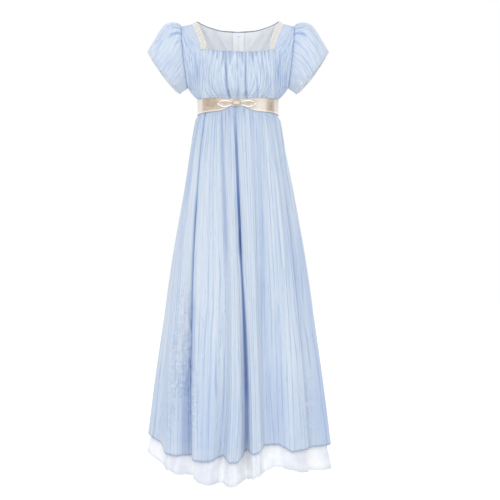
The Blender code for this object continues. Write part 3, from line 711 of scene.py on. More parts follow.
def creases(a, b, table):
    """Height of the table's creases at stations a (across) and b (along). A row runs from
    (a0, b0) to (a1, b1), bends sideways in its middle by bend, and fades at both ends."""
    height = np.zeros(np.broadcast(a, b).shape)
    for a0, b0, a1, b1, bend, width, depth in table:
        share = (b - b0) / (b1 - b0)
        t = np.clip(share, 0, 1)
        middle = a0 + (a1 - a0) * t + bend * np.sin(PI * t)
        fade = smooth(-0.12, 0.1, share) * (1 - smooth(0.72, 1.15, share))
        height += depth * fade * bell(a, middle, width)
    return height


# Bodice surfaces

def coons(u, v, left, right, bottom, top):
    across = lerp(left(v), right(v), u)
    along = lerp(bottom(u), top(u), v)
    zero, one = np.zeros_like(u), np.ones_like(u)
    return across + along - lerp(lerp(bottom(zero), bottom(one), u), lerp(top(zero), top(one), u), v)


def waist_point(angle):
    depth = np.where(np.cos(angle) > 0, WAIST_FRONT, WAIST_BACK)
    return vec(WAIST_HALF_WIDTH * np.sin(angle), -depth * np.cos(angle), WAIST_Z)


def armhole_point(angle):
    centre = (ARMHOLE_TOP + UNDERARM) / 2
    upright = (ARMHOLE_TOP - UNDERARM) / 2 * np.cos(angle)[..., None]
    depth = np.where(np.sin(angle) > 0, ARMHOLE_FRONT, ARMHOLE_BACK)
    return centre + upright + vec(ARMHOLE_BOW * np.sin(angle) ** 2, -depth * np.sin(angle), 0)


def side_front_inner(v):
    seam = PRINCESS_SEAM.point(v / CORNER_V)
    strap = STRAP_EDGE.point((v - CORNER_V) / (1 - CORNER_V))
    return np.where((v <= CORNER_V)[..., None], seam, strap)


def armhole_side(v, toward):
    share = np.clip((1 - v) / (1 - UNDERARM_V), 0, None) ** ARMHOLE_SPREAD
    seam, armhole = SIDE_SEAM.point(v / UNDERARM_V), armhole_point(toward * PI * share)
    return np.where((v <= UNDERARM_V)[..., None], seam, armhole)


def side_front_surface(u, v):
    return coons(
        u, v, side_front_inner, lambda t: armhole_side(t, 1),
        lambda t: waist_point(lerp(PRINCESS_ANGLE, PI / 2, t)),
        lambda t: lerp(STRAP_POINT, ARMHOLE_TOP, t),
    )


def back_level(u, v):
    row = CENTRE_BACK.at(v)
    side = armhole_side(v, -1)
    turn = lerp(PI / 2, BACK_TURN, np.clip(v / 0.4, None, 1))
    across = np.sin(turn * u) / np.sin(turn)
    inward = (1 - np.cos(turn * u)) / (1 - np.cos(turn))
    return vec(
        side[..., 0] * across,
        row.y * (1 - inward) + side[..., 1] * inward,
        row.z * (1 - u) + side[..., 2] * u,
    )


def back_surface(u, v):
    to_top = BACK_TOP.point(u) - back_level(u, np.ones_like(u))
    return back_level(u, v) + to_top * (v ** 2.5)[..., None]


def neck_edge(u):
    across = 2 * u - 1
    x, y, z = PRINCESS_SEAM.point(1)
    roundness = 1 - np.abs(across) ** 2.4
    return vec(
        x * across,
        y + (FRONT_NECK_CENTRE[1] - y) * roundness,
        z + (FRONT_NECK_CENTRE[2] - z) * roundness + 3.5 * across ** 3,
    )


def front_plain(u, v):
    return coons(
        u, v, lambda t: mirrored(PRINCESS_SEAM.point(t), -1), PRINCESS_SEAM.point,
        lambda t: waist_point(lerp(-PRINCESS_ANGLE, PRINCESS_ANGLE, t)), neck_edge,
    )


def edge_dip(distance, depth=0.9, reach=2.2):
    """Hollow along a seam."""
    return -depth * np.exp(-distance / reach)


def panel_grid(columns, rows, surface, side=1, top=1):
    u, v = grid(0, 1, columns, 0, top, rows)
    points = mirrored(surface(u, v), side)
    return u, v, points, grid_normals(points)


# How far the centre front's gathers stand out, from the waist up to the neck
FRONT_GATHER = Sections("v depth", [
    (0, 0),
    (0.06, 0),
    (0.12, 1),
    (0.2, 1.3),
    (0.32, 1),
    (0.46, 0.8),
    (0.6, 0.7),
    (0.8, 0.9),
    (0.9, 1.2),
    (1, 1.7),
])
# How far the gathers of each half move toward the centre front, from the waist up to the neck
FRONT_DRIFT = Sections("v drift", [
    (0, 0.13),
    (0.15, 0.085),
    (0.35, 0.008),
    (0.6, -0.03),
    (0.82, -0.014),
    (1, 0),
])
# u across from the wearer's right, v from the waist up: long creases of the gathered front
FRONT_CREASES = [
    (0.334, 1.02, 0.42, 0.08, -0.008, 0.011, -3.2),
    (0.607, 1.02, 0.597, 0.08, -0.004, 0.011, -3.2),
    (0.498, 0.98, 0.512, 0.1, 0.004, 0.009, -1.3),
    (0.737, 0.62, 0.728, 0.08, 0, 0.01, -1.5),
    (0.735, 1, 0.668, 0.3, -0.006, 0.011, -1.2),
    (0.055, 0.85, 0.258, 0.1, 0.03, 0.013, -1.4),
    (0.12, 0.55, 0.3, 0.1, 0.02, 0.012, -1.3),
    (0.035, 0.6, 0.185, 0.1, 0.02, 0.012, -1),
    (0.215, 0.95, 0.345, 0.12, 0.012, 0.012, -1.1),
    (0.88, 0.52, 0.765, 0.1, -0.02, 0.012, -1.5),
    (0.955, 0.48, 0.83, 0.1, -0.02, 0.012, -1.4),
    (0.965, 0.7, 0.895, 0.1, -0.02, 0.012, -1.1),
    (0.8, 0.98, 0.715, 0.4, -0.01, 0.011, -1),
    (0.25, 1.02, 0.262, 0.72, 0, 0.009, -1.4),
    (0.29, 1.02, 0.3, 0.8, 0, 0.008, -1.2),
    (0.385, 1.02, 0.382, 0.76, 0, 0.008, -1.2),
    (0.43, 1.02, 0.436, 0.84, 0, 0.007, -1),
    (0.555, 1.02, 0.552, 0.8, 0, 0.008, -1.1),
    (0.655, 1.02, 0.65, 0.74, 0, 0.009, -1.3),
    (0.7, 1.02, 0.694, 0.84, 0, 0.008, -1),
    (0.77, 1.02, 0.762, 0.8, 0, 0.008, -1.2),
    (0.16, 1.02, 0.172, 0.84, 0, 0.009, -1),
    (0.86, 1.02, 0.85, 0.86, 0, 0.009, -1),
    (0.372, 0.8, 0.445, 0.12, 0.006, 0.014, 1.3),
    (0.565, 0.85, 0.555, 0.12, 0.004, 0.014, 1.3),
    (0.64, 0.75, 0.64, 0.12, 0, 0.014, 1.1),
]
# painted shade in the folds of the gathered front: as above, with a strength
FRONT_SHADES = [
    (0.332, 1.08, 0.352, 0.62, 0.008, 0.0065, 0.72),
    (0.292, 1.06, 0.346, 0.66, 0.006, 0.008, 0.42),
    (0.35, 0.74, 0.424, 0.02, -0.012, 0.0075, 0.74),
    (0.396, 0.3, 0.43, -0.1, 0, 0.013, 0.62),
    (0.365, 0.6, 0.398, 0.05, -0.006, 0.03, 0.12),
    (0.61, 1.06, 0.602, 0.6, 0.003, 0.008, 0.45),
    (0.6, 0.72, 0.597, 0.02, -0.005, 0.008, 0.6),
    (0.596, 0.28, 0.597, -0.1, 0, 0.016, 0.42),
    (0.605, 0.6, 0.594, 0.05, -0.004, 0.028, 0.12),
    (0.5, 0.55, 0.512, 0.02, 0.004, 0.01, 0.18),
    (0.737, 0.55, 0.728, 0.02, 0, 0.01, 0.3),
    (0.12, 0.5, 0.3, 0, 0.02, 0.01, 0.26),
    (0.055, 0.8, 0.232, 0, 0.02, 0.01, 0.18),
    (0.205, 0.6, 0.352, 0, 0.012, 0.009, 0.2),
    (0.88, 0.5, 0.765, 0, -0.02, 0.01, 0.3),
    (0.955, 0.5, 0.83, 0, -0.02, 0.01, 0.26),
    (0.028, 1.05, 0.036, 0.66, 0, 0.009, 0.36),
    (0.115, 1.05, 0.11, 0.93, 0, 0.008, 0.36),
    (0.176, 1.05, 0.182, 0.92, 0, 0.009, 0.5),
    (0.223, 1.05, 0.24, 0.84, 0, 0.009, 0.44),
    (0.316, 1.06, 0.298, 0.72, 0, 0.009, 0.55),
    (0.357, 1.05, 0.35, 0.93, 0, 0.008, 0.42),
    (0.397, 1.05, 0.408, 0.74, 0, 0.009, 0.52),
    (0.437, 1.05, 0.44, 0.92, 0, 0.008, 0.38),
    (0.477, 1.05, 0.48, 0.94, 0, 0.008, 0.46),
    (0.517, 1.05, 0.528, 0.88, 0, 0.008, 0.56),
    (0.558, 1.05, 0.574, 0.76, 0, 0.009, 0.56),
    (0.658, 1.05, 0.664, 0.92, 0, 0.009, 0.5),
    (0.712, 1.05, 0.7, 0.84, 0, 0.008, 0.4),
    (0.745, 1.05, 0.74, 0.92, 0, 0.009, 0.5),
    (0.819, 1.05, 0.815, 0.72, 0, 0.009, 0.46),
    (0.853, 1.05, 0.856, 0.94, 0, 0.008, 0.36),
    (0.906, 1.05, 0.908, 0.84, 0, 0.008, 0.42),
]
# across on the slant (from the neck corner's grain), v from the waist up
SIDE_FRONT_CREASES = [
    (0.1, 0.98, 0.06, 0.5, 0.02, 0.035, -1.3),
    (0.28, 1, 0.22, 0.46, 0.03, 0.045, -1.1),
    (-0.12, 0.99, -0.05, 0.62, 0.02, 0.035, -1.2),
    (0.45, 0.8, 0.4, 0.3, 0.02, 0.05, -0.9),
    (0.3, 0.42, 0.34, 0.06, 0.05, 0.04, -0.9),
    (0.12, 0.36, 0.18, 0.06, 0.03, 0.035, -0.9),
    (0.55, 0.3, 0.5, 0.06, 0.03, 0.04, -0.8),
    (0.75, 0.26, 0.66, 0.06, 0.02, 0.035, -0.7),
]
# u from the centre back, v from the waist up
BACK_CREASES = [
    (0.18, 0.3, 0.12, 0.06, 0.02, 0.04, -0.9),
    (0.36, 0.34, 0.3, 0.06, 0.02, 0.05, -1.1),
    (0.55, 0.26, 0.5, 0.06, 0.02, 0.04, -0.8),
    (0.66, 0.98, 0.52, 0.6, 0.03, 0.05, -1.2),
    (0.84, 0.96, 0.7, 0.55, 0.03, 0.05, -1.1),
    (0.28, 0.95, 0.24, 0.62, 0.02, 0.06, -0.7),
    (0.5, 0.7, 0.44, 0.36, 0.02, 0.06, -0.8),
]
# the same: soft folds of the lining
LINING_FOLDS = [
    (0.66, 1.02, 0.12, 0.5, 0.04, 0.06, -2.4),
    (0.86, 0.98, 0.34, 0.4, 0.04, 0.06, -2),
    (0.4, 1, 0.05, 0.66, 0.02, 0.04, -1.4),
    (0.92, 0.84, 0.56, 0.3, 0.04, 0.06, -1.6),
    (0.52, 0.62, 0.2, 0.2, 0.02, 0.05, -1.2),
]
# the same, with how much deeper its shade is
LINING_SHADES = {
    "right": [
        (0.34, 1.04, 0.16, 0.52, 0, 0.1, 0.16),
        (0.12, 0.96, 0.1, 0.5, 0, 0.05, 0.1),
    ],
    "left": [
        (0.44, 0.95, 0.18, 0.62, 0, 0.045, 0.16),
        (0.56, 0.98, 0.5, 0.84, 0, 0.05, 0.12),
    ],
}


def build_front():
    u, v, base, normal = panel_grid(240, 96, front_plain)
    bent = u + FRONT_DRIFT.at(v).drift * np.sin(2 * PI * (u - 0.5))
    warp = bent + 0.006 * noise(bent * 9, v * 1.5, 11) + 0.004 * noise(bent * 23, v, 12)
    strength = 0.55 + 0.5 * noise(bent * 13, v * 1.2, 13)
    fade = np.clip(14 * np.minimum(u, 1 - u), 0, 1)
    height = -np.cos(2 * PI * FRONT_GATHERS * warp) * fade * FRONT_GATHER.at(v).depth * strength
    near_neck = np.exp(-(1 - v) / (0.05 + 0.05 * (noise(u * 30, 0, 14) + 1)))
    height += 0.9 * noise(u * 62, v * 3, 15) * near_neck * fade
    height += 0.3 * noise(bent * 55, v * 2.5, 16) * fade
    lines = creases(u, v, FRONT_CREASES)
    height += lines * smooth(0, 0.08, v) + 0.45 * np.cos(2 * PI * 23 * warp) * smooth(0.22, 0.04, v)
    side_gap = nearest_end(arc(base, 1))
    fullness = 2 * bell(v, 0.105, 0.034) + 0.9 * bell(v, 0.16, 0.05)
    height += edge_dip(side_gap) + fullness * np.clip(side_gap / 20, 0, 1)
    height = np.minimum(height, 0.5 + 4 * smooth(0.02, 0.2, v))
    along = arc(base, 0)
    points = turned_edge(base + normal * (CLOTH_WALL + height)[..., None], normal, 1.6, depth=6)
    # Painted shade in the listed folds, in the creases, in the gathers' hollows by the neck and along the
    # side seams; edge lays a light grey over the front, deeper in those folds as painted shade, and a
    # dark line at the neck's edge.
    folds = creases(u, v, FRONT_SHADES)
    shade = 0.3 * folds + np.clip(-lines * 0.02, 0, 0.1)
    shade += 0.1 * np.clip(-height, 0, 2.5) * near_neck + 0.1 * smooth(6, 0, side_gap)
    edge = np.maximum(0.1 + 1.05 * folds, 0.55 * smooth(1.2, 0, along[-1:] - along))
    item = sheet_piece(
        "gathered_front", "bodice_front", BLUE, points, vec(bent * 430, along),
        shade=shade, edge=np.clip(edge, 0, 0.9), crisp=0.95,
    )


def plain_panel(panel, slant, coarse, fine, table, dip):
    """A bodice panel's points, its distances across, along and from its side seams, and how strongly its
    creases and its armhole seam show. Coarse and fine are noises as height, scale and seed."""
    v, base, normal = panel[1:]
    across, along = arc(base, 1), arc(base, 0)
    gap = nearest_end(across)
    lines = creases(slant, v, table)
    height = coarse[0] * noise(slant * coarse[1], v * 2, coarse[2])
    height += fine[0] * noise(slant * fine[1], v * 3, fine[2]) + lines
    height *= np.clip(np.minimum(gap, along[-1:] - along) / 8, 0, 1)
    height = np.minimum(height + edge_dip(gap, dip), 0.1 + 2 * smooth(0.05, 0.14, v))
    armhole = 0.6 * smooth(1.6, 0, across[:, -1:] - across) * (v > UNDERARM_V)
    return base + normal * (CLOTH_WALL + height)[..., None], across, along, gap, lines, armhole


def build_side_front(word, side):
    panel = panel_grid(90, 190, side_front_surface, side)
    u, v = panel[:2]
    slant = u - 1.05 * (np.clip(v - CORNER_V, 0, 1) / (1 - CORNER_V))
    seed = 21 if side > 0 else 22
    points, _, along, gap, lines, armhole = plain_panel(
        panel, slant, (0.55, 9, seed), (0.35, 22, seed + 2), SIDE_FRONT_CREASES, 0.7
    )
    # Painted shade: deeper over the lower part and more so on the side at +x, in the creases and along
    # the seams; edge draws the dark armhole seam.
    low = smooth(0.66, 0.4, v)
    shade = 0.06 + (0.11 if side > 0 else 0.06) * low
    item = sheet_piece(
        f"side_front_cloth_{word}", f"side_front_{word}", BLUE,
        points, vec(slant * 120 + 40, along),
        shade=shade + np.clip(-lines * 0.12, 0, 0.3) + 0.16 * smooth(5, 0, gap),
        crisp=0.9 + 0.9 * low, edge=np.maximum(0.1, armhole),
    )


def build_back(word, side):
    panel = panel_grid(110, 170, back_surface, side)
    u = panel[0]
    seed = 31 if side > 0 else 41
    points, across, along, gap, lines, armhole = plain_panel(
        panel, u, (0.5, 12, seed), (0.35, 28, seed + 1), BACK_CREASES, 0.5
    )
    neck = smooth(1.5, 0.4, along[-1:] - along) * (u < 0.76)
    # Painted shade in the creases and along the seams; edge draws dark lines at the neck, the armhole and
    # the centre back; rim is the grey line along the neck's edge.
    item = sheet_piece(
        f"back_cloth_{word}", f"back_{word}", BLUE,
        turned_edge(points, panel[3], 1.5, depth=3.2), vec(u * 330 + 300, along),
        crisp=0.7, rim=0.8 * neck * smooth(9, 17, across),
        shade=0.06 + np.clip(-lines * 0.16, 0, 0.4) + 0.16 * smooth(5, 0, gap),
        edge=np.maximum(np.maximum(0.5 * neck, armhole), 0.5 * smooth(1.2, 0, across)),
    )


def build_lining(word, side):
    u, v, base, normal = panel_grid(80, 110, back_surface, side, 0.987)
    across, along = arc(base, 1), arc(base, 0)
    free = smooth(0, 0.12, u) * smooth(1, 0.9, v) * smooth(1, 0.92, u) * smooth(0.02, 0.12, v)
    folds = creases(u, v, LINING_FOLDS)
    height = (folds - 0.4 + 0.5 * noise(u * 5, v * 4, 51 if side > 0 else 61) - 0.3) * free
    # Painted shade in the folds; painted light toward the armholes; edge darkens the centre back edge and
    # paints a contact shadow beside the zip tape.
    item = sheet_piece(
        f"back_lining_{word}", f"lining_back_{word}", WHITE,
        base - normal * (LAYER_GAP + 0.3 - np.minimum(height, 0))[..., None], vec(u * 190, along),
        shade=0.07 * np.clip(-folds, 0, 2) + creases(u, v, LINING_SHADES[word]),
        pale=smooth(0.3, 0.55, u),
        edge=np.maximum(0.5 * smooth(2, 0, across), 0.55 * bell(across - TAPE_HALF_WIDTH, 1.6, 1.3)),
    )


# Sleeves

def sleeve_surface(angle, ring):
    row = SLEEVE.at(ring)
    top = vec(row.top_x, 0, row.top_z)
    low = vec(row.low_x, 0, row.low_z)
    outward = unit(vec(top[..., 2] - low[..., 2], 0, low[..., 0] - top[..., 0]))
    depth = np.where(np.sin(angle) > 0, row.front, row.back)
    swing = np.sin(angle) ** 2
    rise = 0.5 + 0.5 * np.cos(angle)
    point = (top + low) / 2 + (top - low) / 2 * np.cos(angle)[..., None]
    point = point + outward * (row.bow * swing)[..., None]
    start = SLEEVE_START_LOW + (SLEEVE_START_TOP - SLEEVE_START_LOW) * rise
    point = point + vec(start, SHOULDER_Y - depth * np.sin(angle), -row.hang * swing)
    middle = (top + low) / 2 + np.array((0, SHOULDER_Y, 0))
    head = rise * 3.2 * np.sin(PI * np.clip(ring / 0.7, 0, 1)) ** 0.8
    wave = np.cos(SLEEVE_GATHERS * angle) * (head + 2.5 * ring * ring)
    return point + unit(point - middle) * wave[..., None], middle


# direction of the sleeve's grain in the XZ plane, outward and down
SLEEVE_GRAIN = (0.58, -0.815)
# angle in radians from the top toward the front, ring from the armhole to the hem
SLEEVE_CREASES = [
    (0.1, 0, 0.04, 0.3, 0.03, 0.05, -1.4),
    (0.34, 0, 0.4, 0.4, 0.04, 0.06, -2.2),
    (0.6, 0, 0.76, 0.34, 0.03, 0.055, -1.8),
    (0.84, 0, 1.06, 0.38, 0.03, 0.055, -1.6),
    (-0.22, 0, -0.3, 0.4, -0.03, 0.055, -2),
    (-0.58, 0, -0.74, 0.42, -0.05, 0.06, -2),
    (-1, 0, -1.2, 0.36, -0.04, 0.06, -1.3),
    (0.7, 0.34, 0.92, 1.02, 0.05, 0.12, -1.1),
    (1.5, 0.4, 1.46, 1.02, 0.04, 0.12, -1),
    (2.3, 0.25, 2.16, 1.02, 0.05, 0.1, -1.3),
    (-1.75, 0.35, -1.6, 1.02, 0.04, 0.11, -1.3),
    (-2.4, 0.3, -2.2, 1.02, 0.04, 0.11, -1.3),
    (0.26, 0.5, 0.2, 1.02, 0.02, 0.09, -0.8),
    (1.2, 0.1, 1.24, 0.8, 0.03, 0.12, 0.8),
]
# painted shade where the gathers of the sleeve's head fold deeper: as above, with a strength
SLEEVE_SHADES = [
    (0.16, -0.06, 0.1, 0.3, 0.02, 0.045, 0.3),
    (0.42, -0.06, 0.4, 0.34, 0.04, 0.045, 0.46),
    (0.62, -0.06, 0.66, 0.24, 0.02, 0.04, 0.42),
    (0.84, -0.06, 0.98, 0.32, 0.02, 0.045, 0.4),
    (1.08, -0.06, 1.3, 0.22, 0.02, 0.04, 0.28),
    (-0.3, -0.06, -0.3, 0.3, 0.02, 0.045, 0.34),
    (-0.62, -0.06, -0.7, 0.32, 0.02, 0.045, 0.38),
    (-0.95, -0.06, -1.1, 0.26, 0.02, 0.045, 0.3),
    (0.95, 0.55, 1.05, 1.1, 0.02, 0.09, 0.14),
    (1.75, 0.4, 1.62, 1.1, 0.02, 0.08, 0.14),
]


def build_sleeve(word, side):
    angle, ring = grid(0, 2 * PI, 289, 0, 1, 84)
    base, middle = (mirrored(points, side) for points in sleeve_surface(angle, ring))
    normal = grid_normals(base, middle, closed=True)
    turned = np.where(angle > PI, angle - 2 * PI, angle)
    seed = 71 if side > 0 else 81
    x, y = np.cos(angle), np.sin(angle)
    strands = noise(x * 9 + 40, y * 9 + 40 + ring * 1.5, seed)
    fine = noise(x * 26 + 50, y * 26 + 50 + ring * 2, seed + 1)
    head = np.exp(-ring / 0.13) * smooth(1.9, 0.7, np.abs(turned))
    lines = creases(turned, ring, SLEEVE_CREASES)
    height = 0.6 * strands * smooth(0.02, 0.3, ring) + 1.2 * fine * head + 0.2 * fine
    height = (height + lines) * smooth(0, 0.035, ring)
    along = arc(base, 0)
    height = height - 1.1 * np.exp(-along / 2) - 0.4 * bell(along[-1:] - along, 9, 1.4)
    points = base + normal * height[..., None]
    points[0] -= np.array((2 * side, 0, 0)) + 0.8 * normal[0]
    grain = np.array((side * SLEEVE_GRAIN[0], 0, SLEEVE_GRAIN[1]))
    crosswise = np.array((-grain[2], 0, grain[0]))
    flat = vec((points @ crosswise + 0.55 * points[..., 1] + 800) * 2.1, points @ grain + 800)
    points = turned_edge(points, normal, 0.9, depth=9)
    # Painted shade in the creases, along the armhole seam and in the head's gathers; light is painted
    # light on the turned-in hem; pale is painted light, strongest on the underside and back that turn
    # away from the light; edge draws the dark armhole seam.
    shade = 0.04 + np.clip(-lines * 0.12, 0, 0.4) * smooth(1.1, 0, ring)
    shade = shade + 0.3 * np.exp(-along / 3) + 0.12 * np.clip(-fine, 0, 1) * head
    light = np.zeros(points.shape[:2])
    light[len(ring):] = 1
    centre = middle.reshape(-1, 3).mean(axis=0)
    item = sheet_piece(
        f"sleeve_cloth_{word}", f"sleeve_{word}", BLUE, points, flat,
        lambda place: place - centre, closed=True, crisp=1 if side > 0 else 0.6,
        shade=shade + creases(turned, ring, SLEEVE_SHADES), light=light,
        pale=np.maximum(0.3, 0.75 * smooth(1.7, 2.6, np.abs(turned))),
        edge=np.maximum(0.09, 0.55 * smooth(1.4, 0, along)),
    )


# Skirts

def skirt_point(fold, drop, depth=0, raised=None):
    line = FOLDS.at(fold)
    fall = np.clip((drop + WAIST_Z) / (HEM_DROP + WAIST_Z), 0, None)
    swing = (2 * line.middle_angle - line.waist_angle - line.hem_angle) * 2 * fall * (1 - fall)
    angle = np.radians(line.waist_angle + (line.hem_angle - line.waist_angle) * fall + swing)
    shape = SKIRT.at(drop)
    out = line.out * np.clip((drop - FOLD_START) / (HEM_DROP - FOLD_START), 0, None) ** FOLD_POWER
    calm = np.minimum(np.minimum(np.abs(fold - FOLD_COUNT), np.abs(fold)), 1)
    start = np.clip((drop - BELT_LOW_DROP) / (GATHER_DROP - BELT_LOW_DROP), 0, 1)
    stride = FOLDS.at(fold + 0.5).waist_angle - FOLDS.at(fold - 0.5).waist_angle
    height = GATHER_RATIO * np.radians(stride) * WAIST_HALF_WIDTH
    gather = height * start * np.exp(-np.clip(drop - GATHER_DROP, 0, None) / WAIST_GATHER_FADE)
    out = out - gather * calm * np.cos(2 * PI * fold) - depth
    depth_y = np.where(np.cos(angle) > 0, shape.front, shape.back) + out
    raised = line.raised if raised is None else raised
    z = raised * fall ** HEM_RAISE_POWER - drop
    return vec((shape.half_width + out) * np.sin(angle), -depth_y * np.cos(angle), z)


# fold station and drop at both ends, sideways bend, width in folds and depth in mm
SKIRT_CREASES = [
    (9.05, 296, 9.03, 1160, 0.02, 0.13, -4.6),
    (9.45, 330, 9.32, 1300, 0.04, 0.14, 4),
    (15.02, 290, 15.05, 900, 0, 0.22, -3),
    (15, 700, 15, 1300, 0, 0.55, 7),
    (14.62, 320, 14.66, 900, 0, 0.14, 2),
    (15.38, 320, 15.36, 900, 0, 0.16, 2.5),
    (12.02, 300, 12, 760, 0.02, 0.14, -2.2),
    (12.1, 700, 12, 1290, 0, 0.45, 3),
    (11.62, 340, 11.6, 1000, 0, 0.3, 2.6),
    (18.4, 420, 18.3, 1290, 0.1, 0.25, -3),
    (22.1, 290, 22, 900, -0.1, 0.22, -3),
    (20.4, 300, 20.55, 900, 0.1, 0.2, -2.5),
    (16.6, 300, 16.55, 760, 0.05, 0.18, -2.2),
    (17.5, 300, 17.7, 1000, 0.05, 0.16, -2),
    (10.6, 296, 10.5, 820, 0.08, 0.18, -2.2),
    (11.45, 300, 11.5, 1100, 0.08, 0.2, -2),
    (13.4, 300, 13.45, 1180, 0.04, 0.16, -1.8),
    (7.5, 300, 7.5, 1260, 0.1, 0.22, -3),
    (8.4, 480, 8.2, 1280, 0.05, 0.2, -2.2),
    (6.3, 420, 6.4, 1240, 0.05, 0.25, -2.2),
    (23.3, 320, 23.3, 1280, 0.05, 0.25, -3),
    (21.4, 520, 21.45, 1290, 0.05, 0.2, -2.2),
    (19.3, 700, 19.3, 1290, 0.05, 0.25, -2.2),
    (1.4, 300, 1.45, 1180, 0.05, 0.22, -3.2),
    (2.5, 300, 2.6, 940, 0.08, 0.2, -2.6),
    (3.4, 340, 3.3, 1260, 0.08, 0.22, -2.6),
    (4.6, 300, 4.6, 1080, -0.06, 0.2, -2.8),
    (5.4, 420, 5.3, 1270, 0.06, 0.24, -2.4),
    (24.6, 300, 24.6, 1120, 0.08, 0.22, -2.8),
    (25.4, 420, 25.5, 1280, 0.05, 0.22, -2.4),
    (26.5, 300, 26.4, 860, -0.06, 0.2, -2.8),
    (27.4, 300, 27.5, 1220, 0.06, 0.22, -2.6),
    (28.5, 340, 28.5, 1000, 0.04, 0.2, -2.6),
    (0.5, 420, 0.55, 1260, 0.04, 0.2, -2.2),
    (29.4, 300, 29.45, 1240, 0.04, 0.2, -2.2),
]
# where the skirt is crumpled by short cross wrinkles: as above, the depth being their height
SKIRT_CRUMPLES = [
    (8.25, 800, 8.1, 1180, 0.1, 0.75, 1.4),
    (8.75, 880, 8.95, 1240, 0, 0.3, 1.2),
    (9.7, 1000, 9.9, 1250, 0.05, 0.45, 1.2),
    (7.3, 960, 7.2, 1290, 0.05, 0.6, 0.9),
    (21.7, 1060, 21.6, 1290, 0.05, 0.6, 1.2),
    (4.4, 900, 4.3, 1290, 0.05, 0.6, 0.6),
    (27.2, 860, 27.3, 1290, 0.05, 0.6, 0.55),
]
# as above, and how strong the painted shade is there
SKIRT_SHADES = [
    (9.08, 240, 9.02, 640, 0, 0.18, 0.8),
    (9.05, 540, 9.12, 920, 0, 0.26, 0.72),
    (9.34, 840, 9.34, 1130, 0, 0.46, 0.6),
    (9, 1000, 8.98, 1290, 0, 0.16, 0.26),
    (8.6, 1000, 8.55, 1300, 0.05, 0.3, 0.14),
    (10.9, 980, 11, 1400, 0, 0.5, 0.1),
    (15.1, 250, 15.06, 660, 0, 0.18, 0.5),
    (15.02, 540, 15, 1240, 0, 0.21, 0.5),
    (14.76, 262, 14.74, 640, 0, 0.18, 0.32),
    (14.45, 262, 14.5, 700, 0, 0.2, 0.1),
    (15.4, 900, 15.45, 1300, 0, 0.24, 0.18),
    (12, 262, 11.97, 720, 0.02, 0.08, 0.24),
    (12.3, 262, 12.28, 760, 0, 0.26, 0.14),
    (11, 262, 11.05, 420, 0, 0.1, 0.22),
    (17.2, 262, 17.6, 760, 0, 0.12, 0.16),
    (18.1, 300, 18, 1000, 0.1, 0.22, 0.18),
    (19.05, 900, 19.05, 1400, 0, 0.4, 0.12),
    (21.55, 262, 21.75, 1000, -0.1, 0.36, 0.24),
    (20.6, 420, 20.8, 760, 0, 0.5, 0.09),
    (21.2, 640, 21.6, 1100, 0, 0.5, 0.12),
    (17.7, 760, 17.8, 1120, 0, 0.4, 0.1),
    (22.6, 640, 22.75, 1400, 0, 0.28, 0.2),
    (6.6, 420, 6.6, 1290, 0.1, 0.7, 0.12),
    (7.6, 262, 7.6, 560, 0.1, 0.4, 0.18),
    (2.2, 300, 2.2, 1290, 0.1, 0.45, 0.25),
    (4.2, 300, 4.2, 1290, 0.1, 0.45, 0.22),
    (26.2, 300, 26.2, 1290, 0.1, 0.45, 0.22),
    (28.2, 300, 28.2, 1290, 0.1, 0.45, 0.22),
    (24.2, 300, 24.2, 1290, 0.1, 0.45, 0.18),
]
# where a fold closes over a hollow, painted dark as its shade: as above
SKIRT_HOLLOW_SHADES = [
    (14.92, 640, 15.1, 1330, 0.09, 0.56, 1),
    (9.06, 720, 9.14, 900, 0, 0.22, 0.52),
]
# painted light where the cloth turns up to the light: as above
SKIRT_PAINTED_LIGHTS = [
    (8.45, 420, 8.45, 1040, 0, 0.34, 0.8),
    (13.4, 520, 13.4, 1000, 0, 0.4, 0.4),
    (10.2, 420, 10.2, 900, 0, 0.5, 0.4),
]
SKIRT_TOP_DROP = 262.3
FLAT_PER_FOLD = 76


def skirt_grid(first, last, per_fold, hem, rows):
    """Folds across and drops from the waist to the hem, closest under the belt and at the hem."""
    t = np.linspace(0, 1, rows)
    share = 0.55 * t ** 1.5 + 0.45 * (1 - (1 - t) ** 1.25)
    columns = np.linspace(first, last, (last - first) * per_fold + 1)
    return np.meshgrid(columns, SKIRT_TOP_DROP + (hem - SKIRT_TOP_DROP) * share)


def long_creases(fold, drop):
    return creases(fold, drop, SKIRT_CREASES) * smooth(281, 380, drop)


def valleys(fold, drop):
    return np.clip(-FOLDS.at(fold).out / 26, 0, 1.3) * smooth(300, 700, drop)


